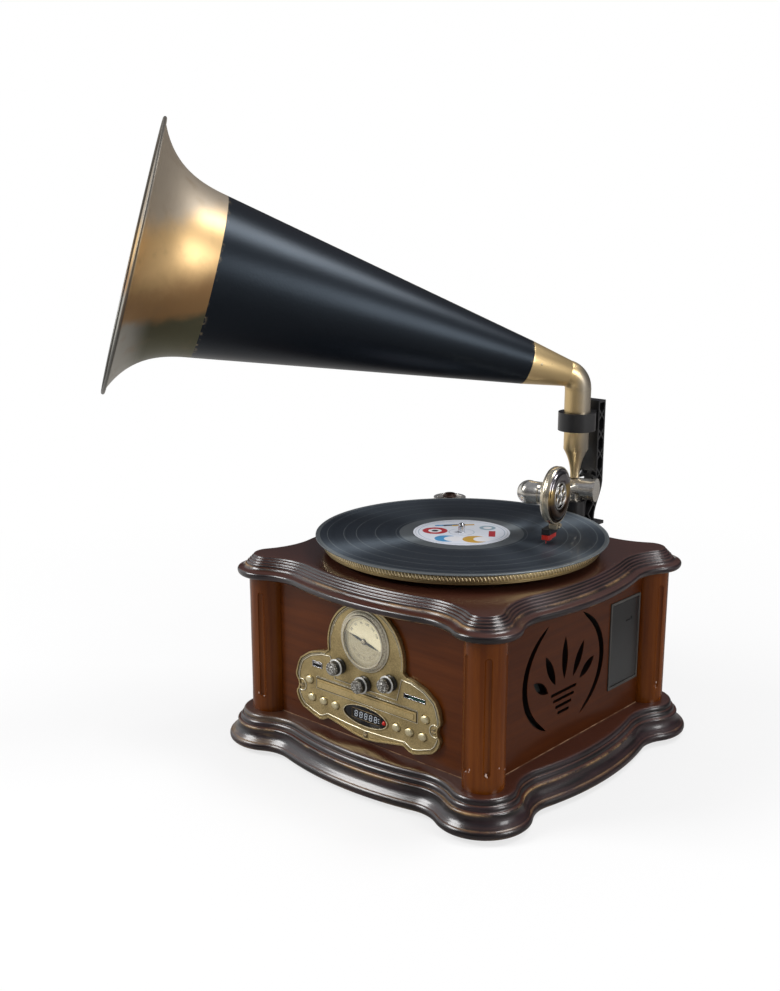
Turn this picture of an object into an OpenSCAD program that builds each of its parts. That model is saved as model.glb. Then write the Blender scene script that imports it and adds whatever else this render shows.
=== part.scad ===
/* [Cabinet outline] */
// Reach of the bowed sides from the spindle axis, at the bead of the top moulding
bow_reach = 172.9; // [165:0.1:185]
// Radius of each bowed side
bow_radius = 338; // [250:1:500]
// Centre of each corner lobe from the spindle axis, along both axes
corner_offset = 139.8; // [135:0.1:145]
// Radius of each corner lobe
corner_radius = 33.8; // [30:0.1:36]
// Radius of the hollow between a bowed side and a corner lobe
hollow_radius = 54; // [45:1:70]

/* [Cabinet heights] */
// Height of the feet
foot_height = 5; // [3:0.5:10]
// Radius of a foot
foot_radius = 12; // [8:1:16]
// Height of the base moulding
base_height = 33; // [30:1:45]
// Height of the panels and columns
side_height = 147; // [140:1:180]
// Thickness of the moulded top board
top_height = 21; // [20:1:30]
// Inset of the top board's upper edge from its bead
top_inset = 16.7; // [14:0.1:20]

/* [Columns and panels] */
// Centre of each column from the spindle axis, along both axes
column_offset = 141; // [139:0.5:143]
// Radius of a column
column_radius = 20; // [18:0.5:22]
// Radius of the cutter that makes a flute
flute_radius = 4; // [3:0.5:5]
// Distance of the flute's ends from the column's ends
flute_margin = 20; // [15:1:40]
// Outer face of the panels from the spindle axis
panel_face = 144; // [143:0.5:146]
// Thickness of the panels
panel_thickness = 9; // [7:0.5:10]
// Depth of a panel's tongue in the column
tongue_depth = 5; // [3:0.5:7]
// Clearance round a piece that sits in a groove or cut-out
seat_clearance = 0.15; // [0.05:0.05:0.3]
// Thickness of the bottom board
bottom_thickness = 7; // [5:0.5:10]

/* [Turntable] */
// Radius of the platter
platter_radius = 143; // [135:0.5:145]
// Height of the platter's rim
platter_height = 10; // [9:0.5:14]
// Gap between the top board and the platter's rim
platter_gap = 5.5; // [4:0.5:8]
// Thickness of the slip mat
mat_thickness = 1.1; // [0.8:0.1:3]
// Radius of the record
record_radius = 150.8; // [149:0.1:151]
// Thickness of the record
record_thickness = 1.9; // [1.5:0.1:2.5]
// Radius of the record's label
label_radius = 50; // [45:1:50]
// Thickness of the label
label_thickness = 0.15; // [0.1:0.05:0.3]
// Radius of the spindle's upper pin
spindle_radius = 3.56; // [3.5:0.01:3.6]
// Radius of the spindle's free end, above the record
free_end_radius = 3.44; // [3.35:0.01:3.45]
// Height of the spindle's pin above the record
spindle_rise = 10; // [6:0.5:14]
// Radius of the spindle's lower shaft
shaft_radius = 4; // [3.8:0.1:5]
// Outer radius of the ring that the belt runs on
belt_ring_radius = 74.7; // [70:0.1:80]
// Radius of the motor pulley
pulley_radius = 6; // [5:0.5:8]
// Motor place, left of the spindle
motor_x = -70; // [-80:1:-60]
// Motor place, in front of the spindle
motor_y = -75; // [-80:1:-65]

/* [Arm and sound box] */
// Arm pivot, right of the spindle
pivot_x = 30; // [28:0.5:32]
// Arm pivot, behind the spindle
pivot_y = 162; // [160:0.5:164]
// Height of the lift hinge above the top board
hinge_rise = 41.6; // [40:0.1:46]
// Direction of the arm, from the right-hand axis
arm_angle = -74.5; // [-78:0.5:-72]
// Length of the arm in plan, from the pivot to the elbow
arm_length = 147.5; // [145:0.5:150]
// Height of the elbow above the lift hinge
arm_rise = 26.9; // [24:0.1:30]
// Radius of the hinge barrel
barrel_radius = 12; // [11:0.5:13]
// Half length of the hinge barrel
barrel_half = 21.8; // [20:0.1:23]
// Radius of the cross shaft in the barrel
cross_radius = 7; // [5:0.5:8]
// Radius of the arm tube at the barrel
arm_tube_radius = 7; // [5:0.5:8]
// Radius of the elbow
elbow_radius = 12; // [10:0.5:14]
// Radius of the sound box
disc_radius = 29; // [26:0.5:32]
// Thickness of the sound box
disc_thickness = 11.5; // [9:0.5:14]
// Distance of the sound box's middle from the elbow
disc_reach = 27.9; // [25:0.1:32]
// Running clearance of pins and shafts, on the radius
run_clearance = 0.05; // [0.02:0.01:0.08]
// Gap between pieces that move past each other
gap = 0.3; // [0.2:0.05:0.5]

/* [Horn] */
// Radius of the horn's upright tube
tube_radius = 14.2; // [13:0.1:15.5]
// Wall of the horn's tube and shells
horn_wall = 1.4; // [1:0.1:2]
// Height of the clamp ring's lower face above the top board
ring_rise = 107; // [100:1:120]
// Height of the clamp ring
ring_height = 20; // [15:1:25]
// Outer radius of the clamp ring
ring_radius = 20.5; // [19:0.5:23]
// Height of the bend's corner above the top board
corner_rise = 166; // [160:1:180]
// Bend radius of the horn tube
bend_radius = 18; // [16:1:24]
// Direction of the horn, from the right-hand axis
horn_angle = -126.7; // [-135:0.1:-115]
// Slope of the horn above the level
horn_slope = 15.6; // [12:0.1:20]
// Distance of the cone's small end from the corner
cone_start = 62.5; // [55:0.5:70]
// Radius of the cone's small end
cone_small = 23.8; // [20:0.1:26]
// Distance of the cone's large end from the corner
cone_end = 409; // [380:1:430]
// Radius of the cone's large end
cone_large = 82; // [75:0.5:90]
// Length of the flared bell
bell_length = 75; // [60:1:90]
// Radius of the bell's mouth
mouth_radius = 137; // [125:0.5:145]
// Radius of the rolled bead on the mouth
bead_radius = 1.8; // [1.2:0.1:2.5]

/* [Front plate] */
// Thickness of the front plate
plate_thickness = 3.5; // [3:0.1:5]
// Height of the raised border
border_height = 1.2; // [0.5:0.1:1.5]
// Radius of the plate's arch
arch_radius = 50; // [48:0.5:51]
// Height of the arch's centre above the base
arch_rise = 95; // [93:0.5:96]
// Height of the dial's centre above the base
dial_rise = 107; // [105:0.5:108]
// Outer radius of the dial's ring
dial_radius = 31.5; // [30:0.5:33]
// Width of the dial's ring
dial_ring_width = 5.4; // [4:0.1:7]
// How far the dial's ring stands out
dial_depth = 5; // [4.5:0.1:7]
// Radius of the knobs
knob_radius = 8; // [7:0.1:8.5]
// Length of the knobs
knob_length = 14; // [10:0.5:18]
// Radius of the knobs' shafts
knob_shaft_radius = 3; // [2.5:0.1:3.5]
// Width of a push button
button_width = 10; // [8:0.1:11]
// Height of a push button
button_height = 8; // [6:0.1:9]
// How far a button stands out of the plate
button_rise = 2.5; // [2:0.1:4]
// Travel of a button
button_travel = 1.2; // [0.8:0.1:1.5]
// Half width of the oval display window
window_half_width = 28; // [26:0.5:29]
// Half height of the oval display window
window_half_height = 9.6; // [8:0.1:10]

/* [Disc drawer and cassette deck] */
// Width of the drawer's front
drawer_width = 132; // [128:1:136]
// Height of the drawer's front
drawer_height = 10; // [9:0.5:11]
// Length of the drawer
drawer_length = 150; // [145:1:155]
// Radius of the disc well
disc_well_radius = 61; // [60.5:0.1:62]
// Width of the cassette deck's frame
deck_width = 56; // [54:1:58]
// Height of the cassette deck's frame
deck_height = 93.5; // [90:0.5:98]
// Width of the cassette slot
slot_width = 13; // [12.5:0.5:15]
// Height of the cassette slot
slot_height = 66; // [65:0.5:70]

/* [Speakers] */
// Radius of a speaker's frame
speaker_radius = 52; // [48:0.5:54]
// Depth of a speaker
speaker_depth = 44; // [35:1:48]
// Half width of the pierced ring in the side panels
ring_half_width = 70; // [66:0.5:72]
// Half height of the pierced ring in the side panels
ring_half_height = 59; // [55:0.5:62]

/* [Hidden] */
$fn = 64;

// Heights of the stacked pieces
base_z = foot_height;
shelf_z = base_z + base_height;
eaves_z = shelf_z + side_height;
deck_z = eaves_z + top_height;
platter_z = deck_z + platter_gap;
mat_z = platter_z + platter_height;
record_z = mat_z + mat_thickness;
record_top = record_z + record_thickness;

// Faces of the panels and of the front plate
panel_back = panel_face - panel_thickness;
tongue_end = column_offset - column_radius + tongue_depth;
plate_face = panel_face + plate_thickness;

// Colours of the finishes
mahogany = [0.29, 0.10, 0.05];
dark_wood = [0.13, 0.08, 0.08];
antique_brass = [0.60, 0.52, 0.34];
old_silver = [0.66, 0.64, 0.58];
black_plastic = [0.06, 0.06, 0.07];
steel = [0.62, 0.63, 0.65];
board_green = [0.06, 0.26, 0.16];

// Points of an arc, of an ellipse and of a closed outline moved inwards
function arc_points(centre, radius, from, to, steps) =
    [for (i = [0:steps]) let (a = from + (to - from) * i / steps)
        [centre.x + radius * cos(a), centre.y + radius * sin(a)]];
function ellipse_points(a, b, steps) =
    [for (i = [0:steps - 1]) [a * cos(360 * i / steps), b * sin(360 * i / steps)]];
function drop_first(points) = [for (i = [1:len(points) - 1]) points[i]];
function reversed(points) = [for (i = [len(points) - 1:-1:0]) points[i]];
function swapped(points) = [for (p = points) [p.y, p.x]];
function quarter_turned(p, k) = k == 0 ? p : quarter_turned([p.y, -p.x], k - 1);
function unit(v) = v / norm(v);
function inset(points, d) = let (n = len(points)) [for (i = [0:n - 1])
    let (
        before = unit(points[i] - points[(i + n - 1) % n]),
        after = unit(points[(i + 1) % n] - points[i]),
        middle = unit(before + after),
        lean = max(0.5, middle * before)
    )
    points[i] + [middle.y, -middle.x] * d / lean];

// The serpentine outline: four bowed sides and four corner lobes joined by hollows
bow_centre = [0, bow_reach - bow_radius];
lobe_centre = [corner_offset, corner_offset];
span = norm(lobe_centre - bow_centre);
along = unit(lobe_centre - bow_centre);
bow_arm = bow_radius + hollow_radius;
lobe_arm = corner_radius + hollow_radius;
foot_of_hollow = (bow_arm ^ 2 - lobe_arm ^ 2 + span ^ 2) / (2 * span);
hollow_centre = bow_centre + foot_of_hollow * along
    + sqrt(bow_arm ^ 2 - foot_of_hollow ^ 2) * [-along.y, along.x];
bow_end = atan2(hollow_centre.y - bow_centre.y, hollow_centre.x - bow_centre.x);
lobe_end = atan2(hollow_centre.y - lobe_centre.y, hollow_centre.x - lobe_centre.x);

function serpentine_eighth(d) = concat(
    arc_points(bow_centre, bow_radius + d, 90, bow_end, 4),
    drop_first(arc_points(hollow_centre, hollow_radius - d, bow_end + 180, lobe_end + 180, 6)),
    drop_first(arc_points(lobe_centre, corner_radius + d, lobe_end, 45, 6)));
function serpentine_quarter(d) = let (half = serpentine_eighth(d))
    concat(half, drop_first(reversed(drop_first(swapped(half)))));
function serpentine(d) = let (quarter = serpentine_quarter(d))
    [for (k = [0:3]) for (p = quarter) quarter_turned(p, k)];

// Profiles from the bottom up: height of each tier, and how far it stands out of the bead
base_profile = [[5, 13.1], [5.5, 11.4], [3, 9], [3, 6.2], [3.5, 4], [4.5, 2], [4, -0.6]];
base_top_offset = -3.9;
top_profile = [[2, -1.8], [2, -0.4], [2.5, 0], [1.5, -1.4], [2, -6], [2.5, -8.6], [2, -10.4],
    [2.2, -12.6]];

function sum_to(profile, n) = n == 0 ? 0 : profile[n - 1][0] + sum_to(profile, n - 1);

module tiers(profile, height, last_offset) {
    for (i = [0:len(profile) - 1])
        translate([0, 0, sum_to(profile, i)])
            linear_extrude(profile[i][0]) polygon(serpentine(profile[i][1]));
    below = sum_to(profile, len(profile));
    translate([0, 0, below])
        linear_extrude(height - below) polygon(serpentine(last_offset));
}

// Frames that lay a flat drawing on the front, right or back of the cabinet
module on_front(y) { translate([0, -y, 0]) rotate([90, 0, 0]) children(); }
module on_right(x) { translate([x, 0, 0]) rotate([90, 0, 90]) children(); }
module on_back(y) { translate([0, y, 0]) rotate([90, 0, 180]) children(); }
module four_corners(offset) {
    for (sx = [-1, 1]) for (sy = [-1, 1]) translate([sx * offset, sy * offset, 0]) children();
}
module slot_shape(width, height) {
    // Flat shape with round ends, wider than it is high
    r = height / 2;
    square([width - height, height], center = true);
    for (s = [-1, 1]) translate([s * (width / 2 - r), 0]) circle(r);
}
module tube(outer, inner, height) {
    difference() {
        cylinder(r = outer, h = height);
        translate([0, 0, -1]) cylinder(r = inner, h = height + 2);
    }
}

// Base, feet and bottom board
board_half = panel_back - 7;
ledge_width = 8;
ledge_height = 6;

module feet() {
    color(black_plastic) four_corners(column_offset) cylinder(r = foot_radius, h = foot_height);
}
module base_moulding() {
    color(dark_wood) translate([0, 0, base_z]) difference() {
        tiers(base_profile, base_height, base_top_offset);
        translate([-board_half, -board_half, ledge_height])
            cube([2 * board_half, 2 * board_half, base_height]);
        translate([ledge_width - board_half, ledge_width - board_half, -1])
            cube([2 * (board_half - ledge_width), 2 * (board_half - ledge_width), base_height]);
    }
}
bottom_z = base_z + ledge_height;
module bottom_board() {
    half = board_half - seat_clearance;
    color([0.45, 0.36, 0.25]) translate([-half, -half, bottom_z])
        cube([2 * half, 2 * half, bottom_thickness]);
}
inside_z = bottom_z + bottom_thickness;

// Corner columns, fluted on the side that shows and grooved for the panels
flute_angles = [-65, 0, 65];
flute_reach = column_radius + flute_radius * 0.4;

module column() {
    difference() {
        translate([column_offset, column_offset, shelf_z])
            cylinder(r = column_radius, h = side_height);
        for (a = flute_angles) translate([column_offset, column_offset, 0])
            rotate([0, 0, 45 + a]) translate([flute_reach, 0, shelf_z + flute_margin]) {
                cylinder(r = flute_radius, h = side_height - 2 * flute_margin, $fn = 24);
                sphere(flute_radius, $fn = 24);
                translate([0, 0, side_height - 2 * flute_margin])
                    sphere(flute_radius, $fn = 24);
            }
        for (k = [0, 1]) mirror([k, -k, 0])
            translate([0, panel_back - seat_clearance, shelf_z - 1])
                cube([tongue_end + seat_clearance, panel_thickness + 2 * seat_clearance,
                    side_height + 2]);
    }
}
module corner_columns() {
    color(mahogany) for (k = [0:3]) rotate([0, 0, 90 * k]) column();
}

// Panels
module panel_blank() {
    translate([-tongue_end, panel_back, shelf_z])
        cube([2 * tongue_end, panel_thickness, side_height]);
}

// Places on the front, measured from the middle of the front and from the base
knob_places = [[-33.5, 73.5], [0, 63.5], [33.5, 73.5]];
button_places = [
    [-76.5, 48], [-73.5, 29.5], [-57, 29.5], [-40.5, 29.5],
    [40.5, 29.5], [57, 29.5], [73.5, 29.5], [76.5, 48]
];
drawer_rise = 47;
window_rise = 28.9;
plate_screw_places = [[-87, 39], [87, 39], [0, 10.5]];
usb_place = [-65.5, 66.5];
usb_size = [14, 6.2];
card_place = [63, 65];
card_size = [27, 4.4];
// Openings behind the plate, past the pieces that go through
through_margin = 3;

module at_shelf(place) { translate([place.x, shelf_z + place.y]) children(); }

module front_openings() {
    at_shelf([0, drawer_rise])
        square([drawer_width + 2 * through_margin, drawer_height + 2 * through_margin],
            center = true);
    at_shelf([0, window_rise]) square([2 * window_half_width + 4, 2 * window_half_height + 2],
        center = true);
    for (p = button_places) at_shelf(p)
        square([button_width + 2 * through_margin, button_height + 2 * through_margin],
            center = true);
    for (p = knob_places) at_shelf(p) circle(pot_bush_radius + 1);
    at_shelf([0, dial_rise]) circle(dial_radius - dial_ring_width - 2);
    at_shelf(usb_place) square([usb_size.x + 1, usb_size.y + 1], center = true);
    at_shelf(card_place) square([card_size.x + 1, card_size.y + 1], center = true);
}
pot_bush_radius = 4.6;
module front_panel() {
    color(mahogany) difference() {
        mirror([0, 1, 0]) panel_blank();
        on_front(panel_back - 1) linear_extrude(panel_thickness + 2) front_openings();
        for (p = plate_screw_places) on_front(panel_back - 1)
            at_shelf(p) cylinder(r = screw_radius, h = panel_thickness + 2, $fn = 24);
    }
}

// Pierced design of the side panels: two bowed slots round a fan of leaves
grille_y = -18;
grille_rise = 76;
slot_gap_angle = 24;
ring_slot_width = 8;
leaf_places = [
    [0, -8, 90, 44], [-15, -10, 118, 38], [15, -10, 62, 38], [-27, -15, 146, 30],
    [27, -15, 34, 30]
];
module leaf(length, width) {
    // Pointed leaf along +X, where two equal circles overlap
    r = (length ^ 2 + width ^ 2) / (4 * width);
    translate([length / 2, 0]) intersection() {
        translate([0, r - width / 2]) circle(r);
        translate([0, width / 2 - r]) circle(r);
    }
}
module ring_slot() {
    steps = 18;
    from = slot_gap_angle - 90;
    to = 90 - slot_gap_angle;
    edge = [for (i = [0:steps]) let (a = from + (to - from) * i / steps)
        [ring_half_width * cos(a), ring_half_height * sin(a)]];
    back = [for (i = [steps - 1:-1:1]) let (
            a = from + (to - from) * i / steps,
            cut = ring_slot_width * sqrt(sin(180 * i / steps)))
        [(ring_half_width - cut) * cos(a), (ring_half_height - cut) * sin(a)]];
    polygon(concat(edge, back));
}
module pierced_design() {
    for (s = [0, 1]) mirror([s, 0]) ring_slot();
    for (l = leaf_places) translate([l[0], l[1]]) rotate(l[2]) leaf(l[3], 10);
    for (i = [0:3]) translate([0, -20 - 7 * i]) slot_shape(44 - 8 * i, 3.2);
}
module grille_panel() {
    difference() {
        rotate([0, 0, -90]) panel_blank();
        on_right(panel_back - 1) linear_extrude(panel_thickness + 2)
            translate([grille_y, shelf_z + grille_rise]) pierced_design();
    }
}
deck_y = 90;
deck_rise = 77.3;
module right_panel() {
    color(mahogany) difference() {
        grille_panel();
        on_right(panel_back - 1) linear_extrude(panel_thickness + 2)
            translate([deck_y, shelf_z + deck_rise])
                square([deck_width + 2 * seat_clearance, deck_height + 2 * seat_clearance],
                    center = true);
    }
}
module left_panel() { color(mahogany) mirror([1, 0, 0]) grille_panel(); }

inlet_place = [-80, 24];
inlet_size = [24, 16];
sockets_place = [40, 26];
sockets_size = [62, 26];
vent_rows = 6;
vent_pitch = 11;
back_screw_x = 105;
module back_panel() {
    color(dark_wood) difference() {
        panel_blank();
        for (i = [0:vent_rows - 1]) on_back(panel_back - 1)
            translate([0, shelf_z + 70 + vent_pitch * i])
                linear_extrude(panel_thickness + 2) slot_shape(90, 4.5);
        on_back(panel_back - 1) linear_extrude(panel_thickness + 2) {
            at_shelf(inlet_place)
                square([inlet_size.x + 2 * seat_clearance, inlet_size.y + 2 * seat_clearance],
                    center = true);
            at_shelf(sockets_place) square([sockets_size.x - 12, sockets_size.y - 8], center = true);
            at_shelf(sockets_place) for (s = [-1, 1])
                translate([s * (sockets_size.x / 2 - 3), 0]) circle(1.6);
        }
    }
}

// Top board with the bores for the bearing and the motor, and the adaptor's peg
bearing_radius = 8;
motor_radius = 18;
motor_pocket = 11.7;
boss_radius = 5;
adaptor_x = -120.5;
adaptor_y = 129.5;
adaptor_radius = 18.8;
adaptor_thickness = 3.6;
peg_height = 10.4;
peg_radius = 6;
foot_screw_radius = 1.6;
foot_screw_places = [[-15, -26], [15, -26], [-15, -13], [15, -13]];
module top_moulding() {
    color(dark_wood) {
        difference() {
            translate([0, 0, eaves_z]) tiers(top_profile, top_height, -top_inset);
            translate([0, 0, eaves_z - 1])
                cylinder(r = bearing_radius + run_clearance, h = top_height + 2);
            translate([motor_x, motor_y, eaves_z - 1]) {
                cylinder(r = motor_radius + gap, h = motor_pocket + 1);
                cylinder(r = boss_radius + gap, h = top_height + 2);
            }
            for (p = foot_screw_places)
                translate([pivot_x + p.x, pivot_y + p.y, deck_z - 12])
                    cylinder(r = foot_screw_radius, h = 13, $fn = 24);
        }
        translate([adaptor_x, adaptor_y, deck_z]) {
            cylinder(r = peg_radius, h = peg_height);
            cylinder(r = spindle_radius, h = peg_height + adaptor_thickness);
        }
    }
}

// Speakers behind the pierced panels, with their cloths
cloth_thickness = 0.8;
cloth_margin = 5;
cloth_half = ring_half_height + cloth_margin;
magnet_radius = 30;
magnet_depth = 16;
frame_depth = 6;
module grille_cloths() {
    color([0.05, 0.05, 0.05]) for (s = [0, 1]) mirror([s, 0, 0])
        translate([panel_back - cloth_thickness, grille_y - cloth_half - 8,
            shelf_z + grille_rise - cloth_half])
            cube([cloth_thickness, 2 * cloth_half + 16, 2 * cloth_half]);
}
module speaker() {
    translate([panel_back - cloth_thickness, grille_y, shelf_z + grille_rise])
        rotate([0, -90, 0]) difference() {
            union() {
                cylinder(r = speaker_radius, h = frame_depth);
                translate([0, 0, frame_depth])
                    cylinder(r1 = speaker_radius - 3, r2 = magnet_radius,
                        h = speaker_depth - frame_depth - magnet_depth);
                translate([0, 0, speaker_depth - magnet_depth])
                    cylinder(r = magnet_radius, h = magnet_depth);
            }
            translate([0, 0, -1]) cylinder(r1 = speaker_radius - 5, r2 = 14, h = 23);
        }
}
module speakers() {
    color([0.1, 0.1, 0.1]) for (s = [0, 1]) mirror([s, 0, 0]) speaker();
}

// Bearing, spindle, platter, mat, record and label
flange_radius = 14;
flange_height = 2;
bearing_depth = 30;
bearing_floor = 3;
module spindle_bearing() {
    color([0.7, 0.55, 0.3]) difference() {
        union() {
            translate([0, 0, deck_z - bearing_depth])
                cylinder(r = bearing_radius, h = bearing_depth + flange_height);
            translate([0, 0, deck_z]) cylinder(r = flange_radius, h = flange_height);
        }
        translate([0, 0, deck_z - bearing_depth + bearing_floor])
            cylinder(r = shaft_radius + run_clearance, h = bearing_depth + flange_height);
    }
}
hole_clearance = 0.09;
seat_rise = 0.5;
module spindle() {
    bottom = deck_z - bearing_depth + bearing_floor + gap;
    seat_top = record_top + seat_rise;
    tip = record_top + spindle_rise - free_end_radius;
    color(steel) {
        translate([0, 0, bottom]) cylinder(r = shaft_radius, h = mat_z - bottom);
        translate([0, 0, mat_z])
            cylinder(r = spindle_radius + hole_clearance / 2, h = seat_top - mat_z);
        translate([0, 0, seat_top]) cylinder(r = free_end_radius, h = tip - seat_top);
        translate([0, 0, tip]) sphere(free_end_radius);
    }
}
rim_width = 3.5;
web_thickness = 3;
belt_ring_width = 3;
belt_ring_drop = 2.5;
hub_radius = 10;
module platter() {
    web_z = mat_z - web_thickness;
    color([0.72, 0.62, 0.38]) {
        translate([0, 0, platter_z])
            tube(platter_radius, platter_radius - rim_width, platter_height);
        translate([0, 0, web_z])
            tube(platter_radius - rim_width / 2, shaft_radius + run_clearance / 2, web_thickness);
        translate([0, 0, platter_z - belt_ring_drop])
            tube(belt_ring_radius, belt_ring_radius - belt_ring_width,
                platter_height + belt_ring_drop - web_thickness / 2);
        translate([0, 0, platter_z - belt_ring_drop])
            tube(hub_radius, shaft_radius + run_clearance / 2,
                platter_height + belt_ring_drop - web_thickness / 2);
    }
}
module slip_mat() {
    color([0.08, 0.08, 0.08]) translate([0, 0, mat_z])
        tube(platter_radius - 2, spindle_radius + hole_clearance, mat_thickness);
}
module record() {
    color([0.03, 0.03, 0.035]) translate([0, 0, record_z]) difference() {
        tube(record_radius, spindle_radius + hole_clearance, record_thickness);
        translate([0, 0, record_thickness - label_thickness])
            cylinder(r = label_radius + label_thickness, h = record_thickness);
        translate([0, 0, label_thickness - record_thickness])
            cylinder(r = label_radius + label_thickness, h = record_thickness);
    }
}
module record_label() {
    color([0.93, 0.92, 0.9]) for (z = [record_z, record_top - label_thickness])
        translate([0, 0, z])
            tube(label_radius, spindle_radius + hole_clearance, label_thickness);
}

// Motor, pulley and belt
belt_thickness = 0.8;
belt_width = 4;
belt_z = platter_z + 0.8;
motor_height = 28;
motor_shaft_radius = 1;
module turntable_motor() {
    color(steel) translate([motor_x, motor_y, 0]) difference() {
        union() {
            translate([0, 0, eaves_z + motor_pocket - motor_height])
                cylinder(r = motor_radius, h = motor_height);
            translate([0, 0, eaves_z]) cylinder(r = boss_radius, h = top_height);
        }
        translate([0, 0, deck_z - 24])
            cylinder(r = motor_shaft_radius + run_clearance, h = 30, $fn = 32);
    }
}
module motor_pulley() {
    color([0.75, 0.6, 0.3]) translate([motor_x, motor_y, 0]) {
        translate([0, 0, deck_z - 22]) cylinder(r = motor_shaft_radius, h = 34, $fn = 32);
        translate([0, 0, belt_z - 1.5]) cylinder(r = pulley_radius, h = belt_width + 3);
        for (z = [belt_z - 2, belt_z + belt_width + 1])
            translate([0, 0, z]) cylinder(r = pulley_radius + 0.8, h = 1);
    }
}
motor_place = [motor_x, motor_y];
motor_direction = atan2(motor_y, motor_x);
module belt_outline(extra) {
    // Two circles and the strip between their outer tangents
    big = belt_ring_radius + gap + extra;
    small = pulley_radius + gap + extra;
    lean = acos((big - small) / norm(motor_place));
    up = motor_direction + lean;
    down = motor_direction - lean;
    circle(big, $fn = 128);
    translate(motor_place) circle(small);
    polygon([
        big * [cos(up), sin(up)], motor_place + small * [cos(up), sin(up)],
        motor_place + small * [cos(down), sin(down)], big * [cos(down), sin(down)]
    ]);
}
module drive_belt() {
    color([0.08, 0.08, 0.08]) translate([0, 0, belt_z]) linear_extrude(belt_width)
        difference() {
            belt_outline(belt_thickness);
            belt_outline(0);
        }
}

// Adaptor for singles, stored on its peg
module single_adaptor() {
    color(old_silver) translate([adaptor_x, adaptor_y, deck_z + peg_height])
        linear_extrude(adaptor_thickness) difference() {
            circle(adaptor_radius);
            circle(spindle_radius + hole_clearance);
            difference() {
                circle(adaptor_radius - 4);
                circle(7);
                rotate(35) square([3 * adaptor_radius, 5], center = true);
            }
        }
}

// Bracket: foot, pivot post, ribbed upright and clamp ring, moulded in one piece
bracket_width = 23;
pedestal_radius = 12;
pedestal_top = deck_z + 28.2;
post_radius = 5;
post_floor = deck_z + 6;
foot_thickness = 3.5;
upright_top = deck_z + 137;
swing_radius = 28.8;
web_width = 6;
flange_width = 2.4;
rib_width = 1.8;
ring_z = deck_z + ring_rise;
// The upright's edges behind the pivot: low and high places, and where they turn
front_low = 3.5;
front_high = 25;
rear_low = 24.5;
rear_high = 39;

function ease(t) = let (u = min(1, max(0, t))) u * u * (3 - 2 * u);
function front_edge(z) = front_low + (front_high - front_low) * ease((z - 22) / 34);
function rear_edge(z) = rear_low + (rear_high - rear_low) * ease((z - 6) / 40);
module bracket_side(margin) {
    // Side view of the upright, from the pivot axis and the top board
    top = upright_top - deck_z - margin;
    steps = 24;
    polygon(concat(
        [for (i = [0:steps]) let (z = margin + (top - margin) * i / steps)
            [front_edge(z) + margin, z]],
        [for (i = [steps:-1:0]) let (z = margin + (top - margin) * i / steps)
            [rear_edge(z) - margin, z]]));
}
module bracket_ribs() {
    rise = 22;
    for (i = [-1:6]) translate([32, rise * i + 11]) for (a = [48, -48])
        rotate(a) square([60, rib_width], center = true);
}
module bracket_upright() {
    translate([pivot_x, pivot_y, deck_z]) {
        translate([-web_width / 2, 0, 0]) rotate([90, 0, 90])
            linear_extrude(web_width) bracket_side(0);
        translate([-bracket_width / 2, 0, 0]) rotate([90, 0, 90])
            linear_extrude(bracket_width) {
                difference() {
                    bracket_side(0);
                    bracket_side(flange_width);
                }
                intersection() {
                    bracket_side(0);
                    bracket_ribs();
                }
            }
    }
}
clamp_step = 3;
clamp_ledge = 0.7;
bracket_foot = [44, 62];
foot_reach = 34;
module horn_bracket() {
    color(black_plastic) difference() {
        union() {
            bracket_upright();
            translate([pivot_x, pivot_y, deck_z])
                cylinder(r = pedestal_radius, h = pedestal_top - deck_z);
            translate([pivot_x - bracket_foot.x / 2, pivot_y - foot_reach, deck_z])
                cube([bracket_foot.x, bracket_foot.y, foot_thickness]);
            translate([pivot_x, pivot_y, ring_z]) cylinder(r = ring_radius, h = ring_height);
            translate([pivot_x - 9, pivot_y + tube_radius + 3, ring_z])
                cube([18, front_high - tube_radius - 2, ring_height]);
        }
        translate([pivot_x, pivot_y, post_floor])
            cylinder(r = post_radius + run_clearance, h = pedestal_top - post_floor + 1);
        translate([pivot_x, pivot_y, pedestal_top])
            cylinder(r = swing_radius, h = hinge_rise + barrel_radius + 4 + deck_z - pedestal_top);
        translate([pivot_x, pivot_y, ring_z + clamp_step])
            cylinder(r = tube_radius + run_clearance, h = ring_height);
        translate([pivot_x, pivot_y, ring_z - 1])
            cylinder(r = lower_radius + run_clearance, h = clamp_step + 2);
        for (p = foot_screw_places) translate([pivot_x + p.x, pivot_y + p.y, deck_z - 1]) {
            cylinder(r = foot_screw_radius + 0.2, h = foot_thickness + 2, $fn = 24);
            translate([0, 0, 1 + foot_thickness - 1.6])
                cylinder(r = 3.2, h = 3, $fn = 24);
        }
    }
}

// Screws: front plate, bracket foot and rear sockets
screw_radius = 1.6;
screw_head = 3;
module plate_screw() {
    cylinder(r = screw_radius - 0.1, h = plate_thickness + 7, $fn = 24);
    translate([0, 0, plate_thickness + 7]) difference() {
        cylinder(r1 = screw_head, r2 = screw_head - 0.8, h = 1.6, $fn = 24);
        translate([-screw_head, -0.4, 0.9]) cube([2 * screw_head, 0.8, 1]);
    }
}
module screws() {
    color(antique_brass) {
        for (p = plate_screw_places) on_front(panel_face - 7)
            at_shelf(p) plate_screw();
        for (p = foot_screw_places)
            translate([pivot_x + p.x, pivot_y + p.y, deck_z - 10]) {
                cylinder(r = foot_screw_radius - 0.1, h = 11.9, $fn = 24);
                translate([0, 0, 11.9]) cylinder(r = 3, h = 1.6, $fn = 24);
            }
        for (s = [-1, 1]) on_back(panel_face - 7)
            translate([sockets_place.x + s * (sockets_size.x / 2 - 3), shelf_z + sockets_place.y]) {
                cylinder(r = 1.5, h = 9, $fn = 24);
                translate([0, 0, 9]) cylinder(r = 2.8, h = 1.5, $fn = 24);
            }
    }
}

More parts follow.
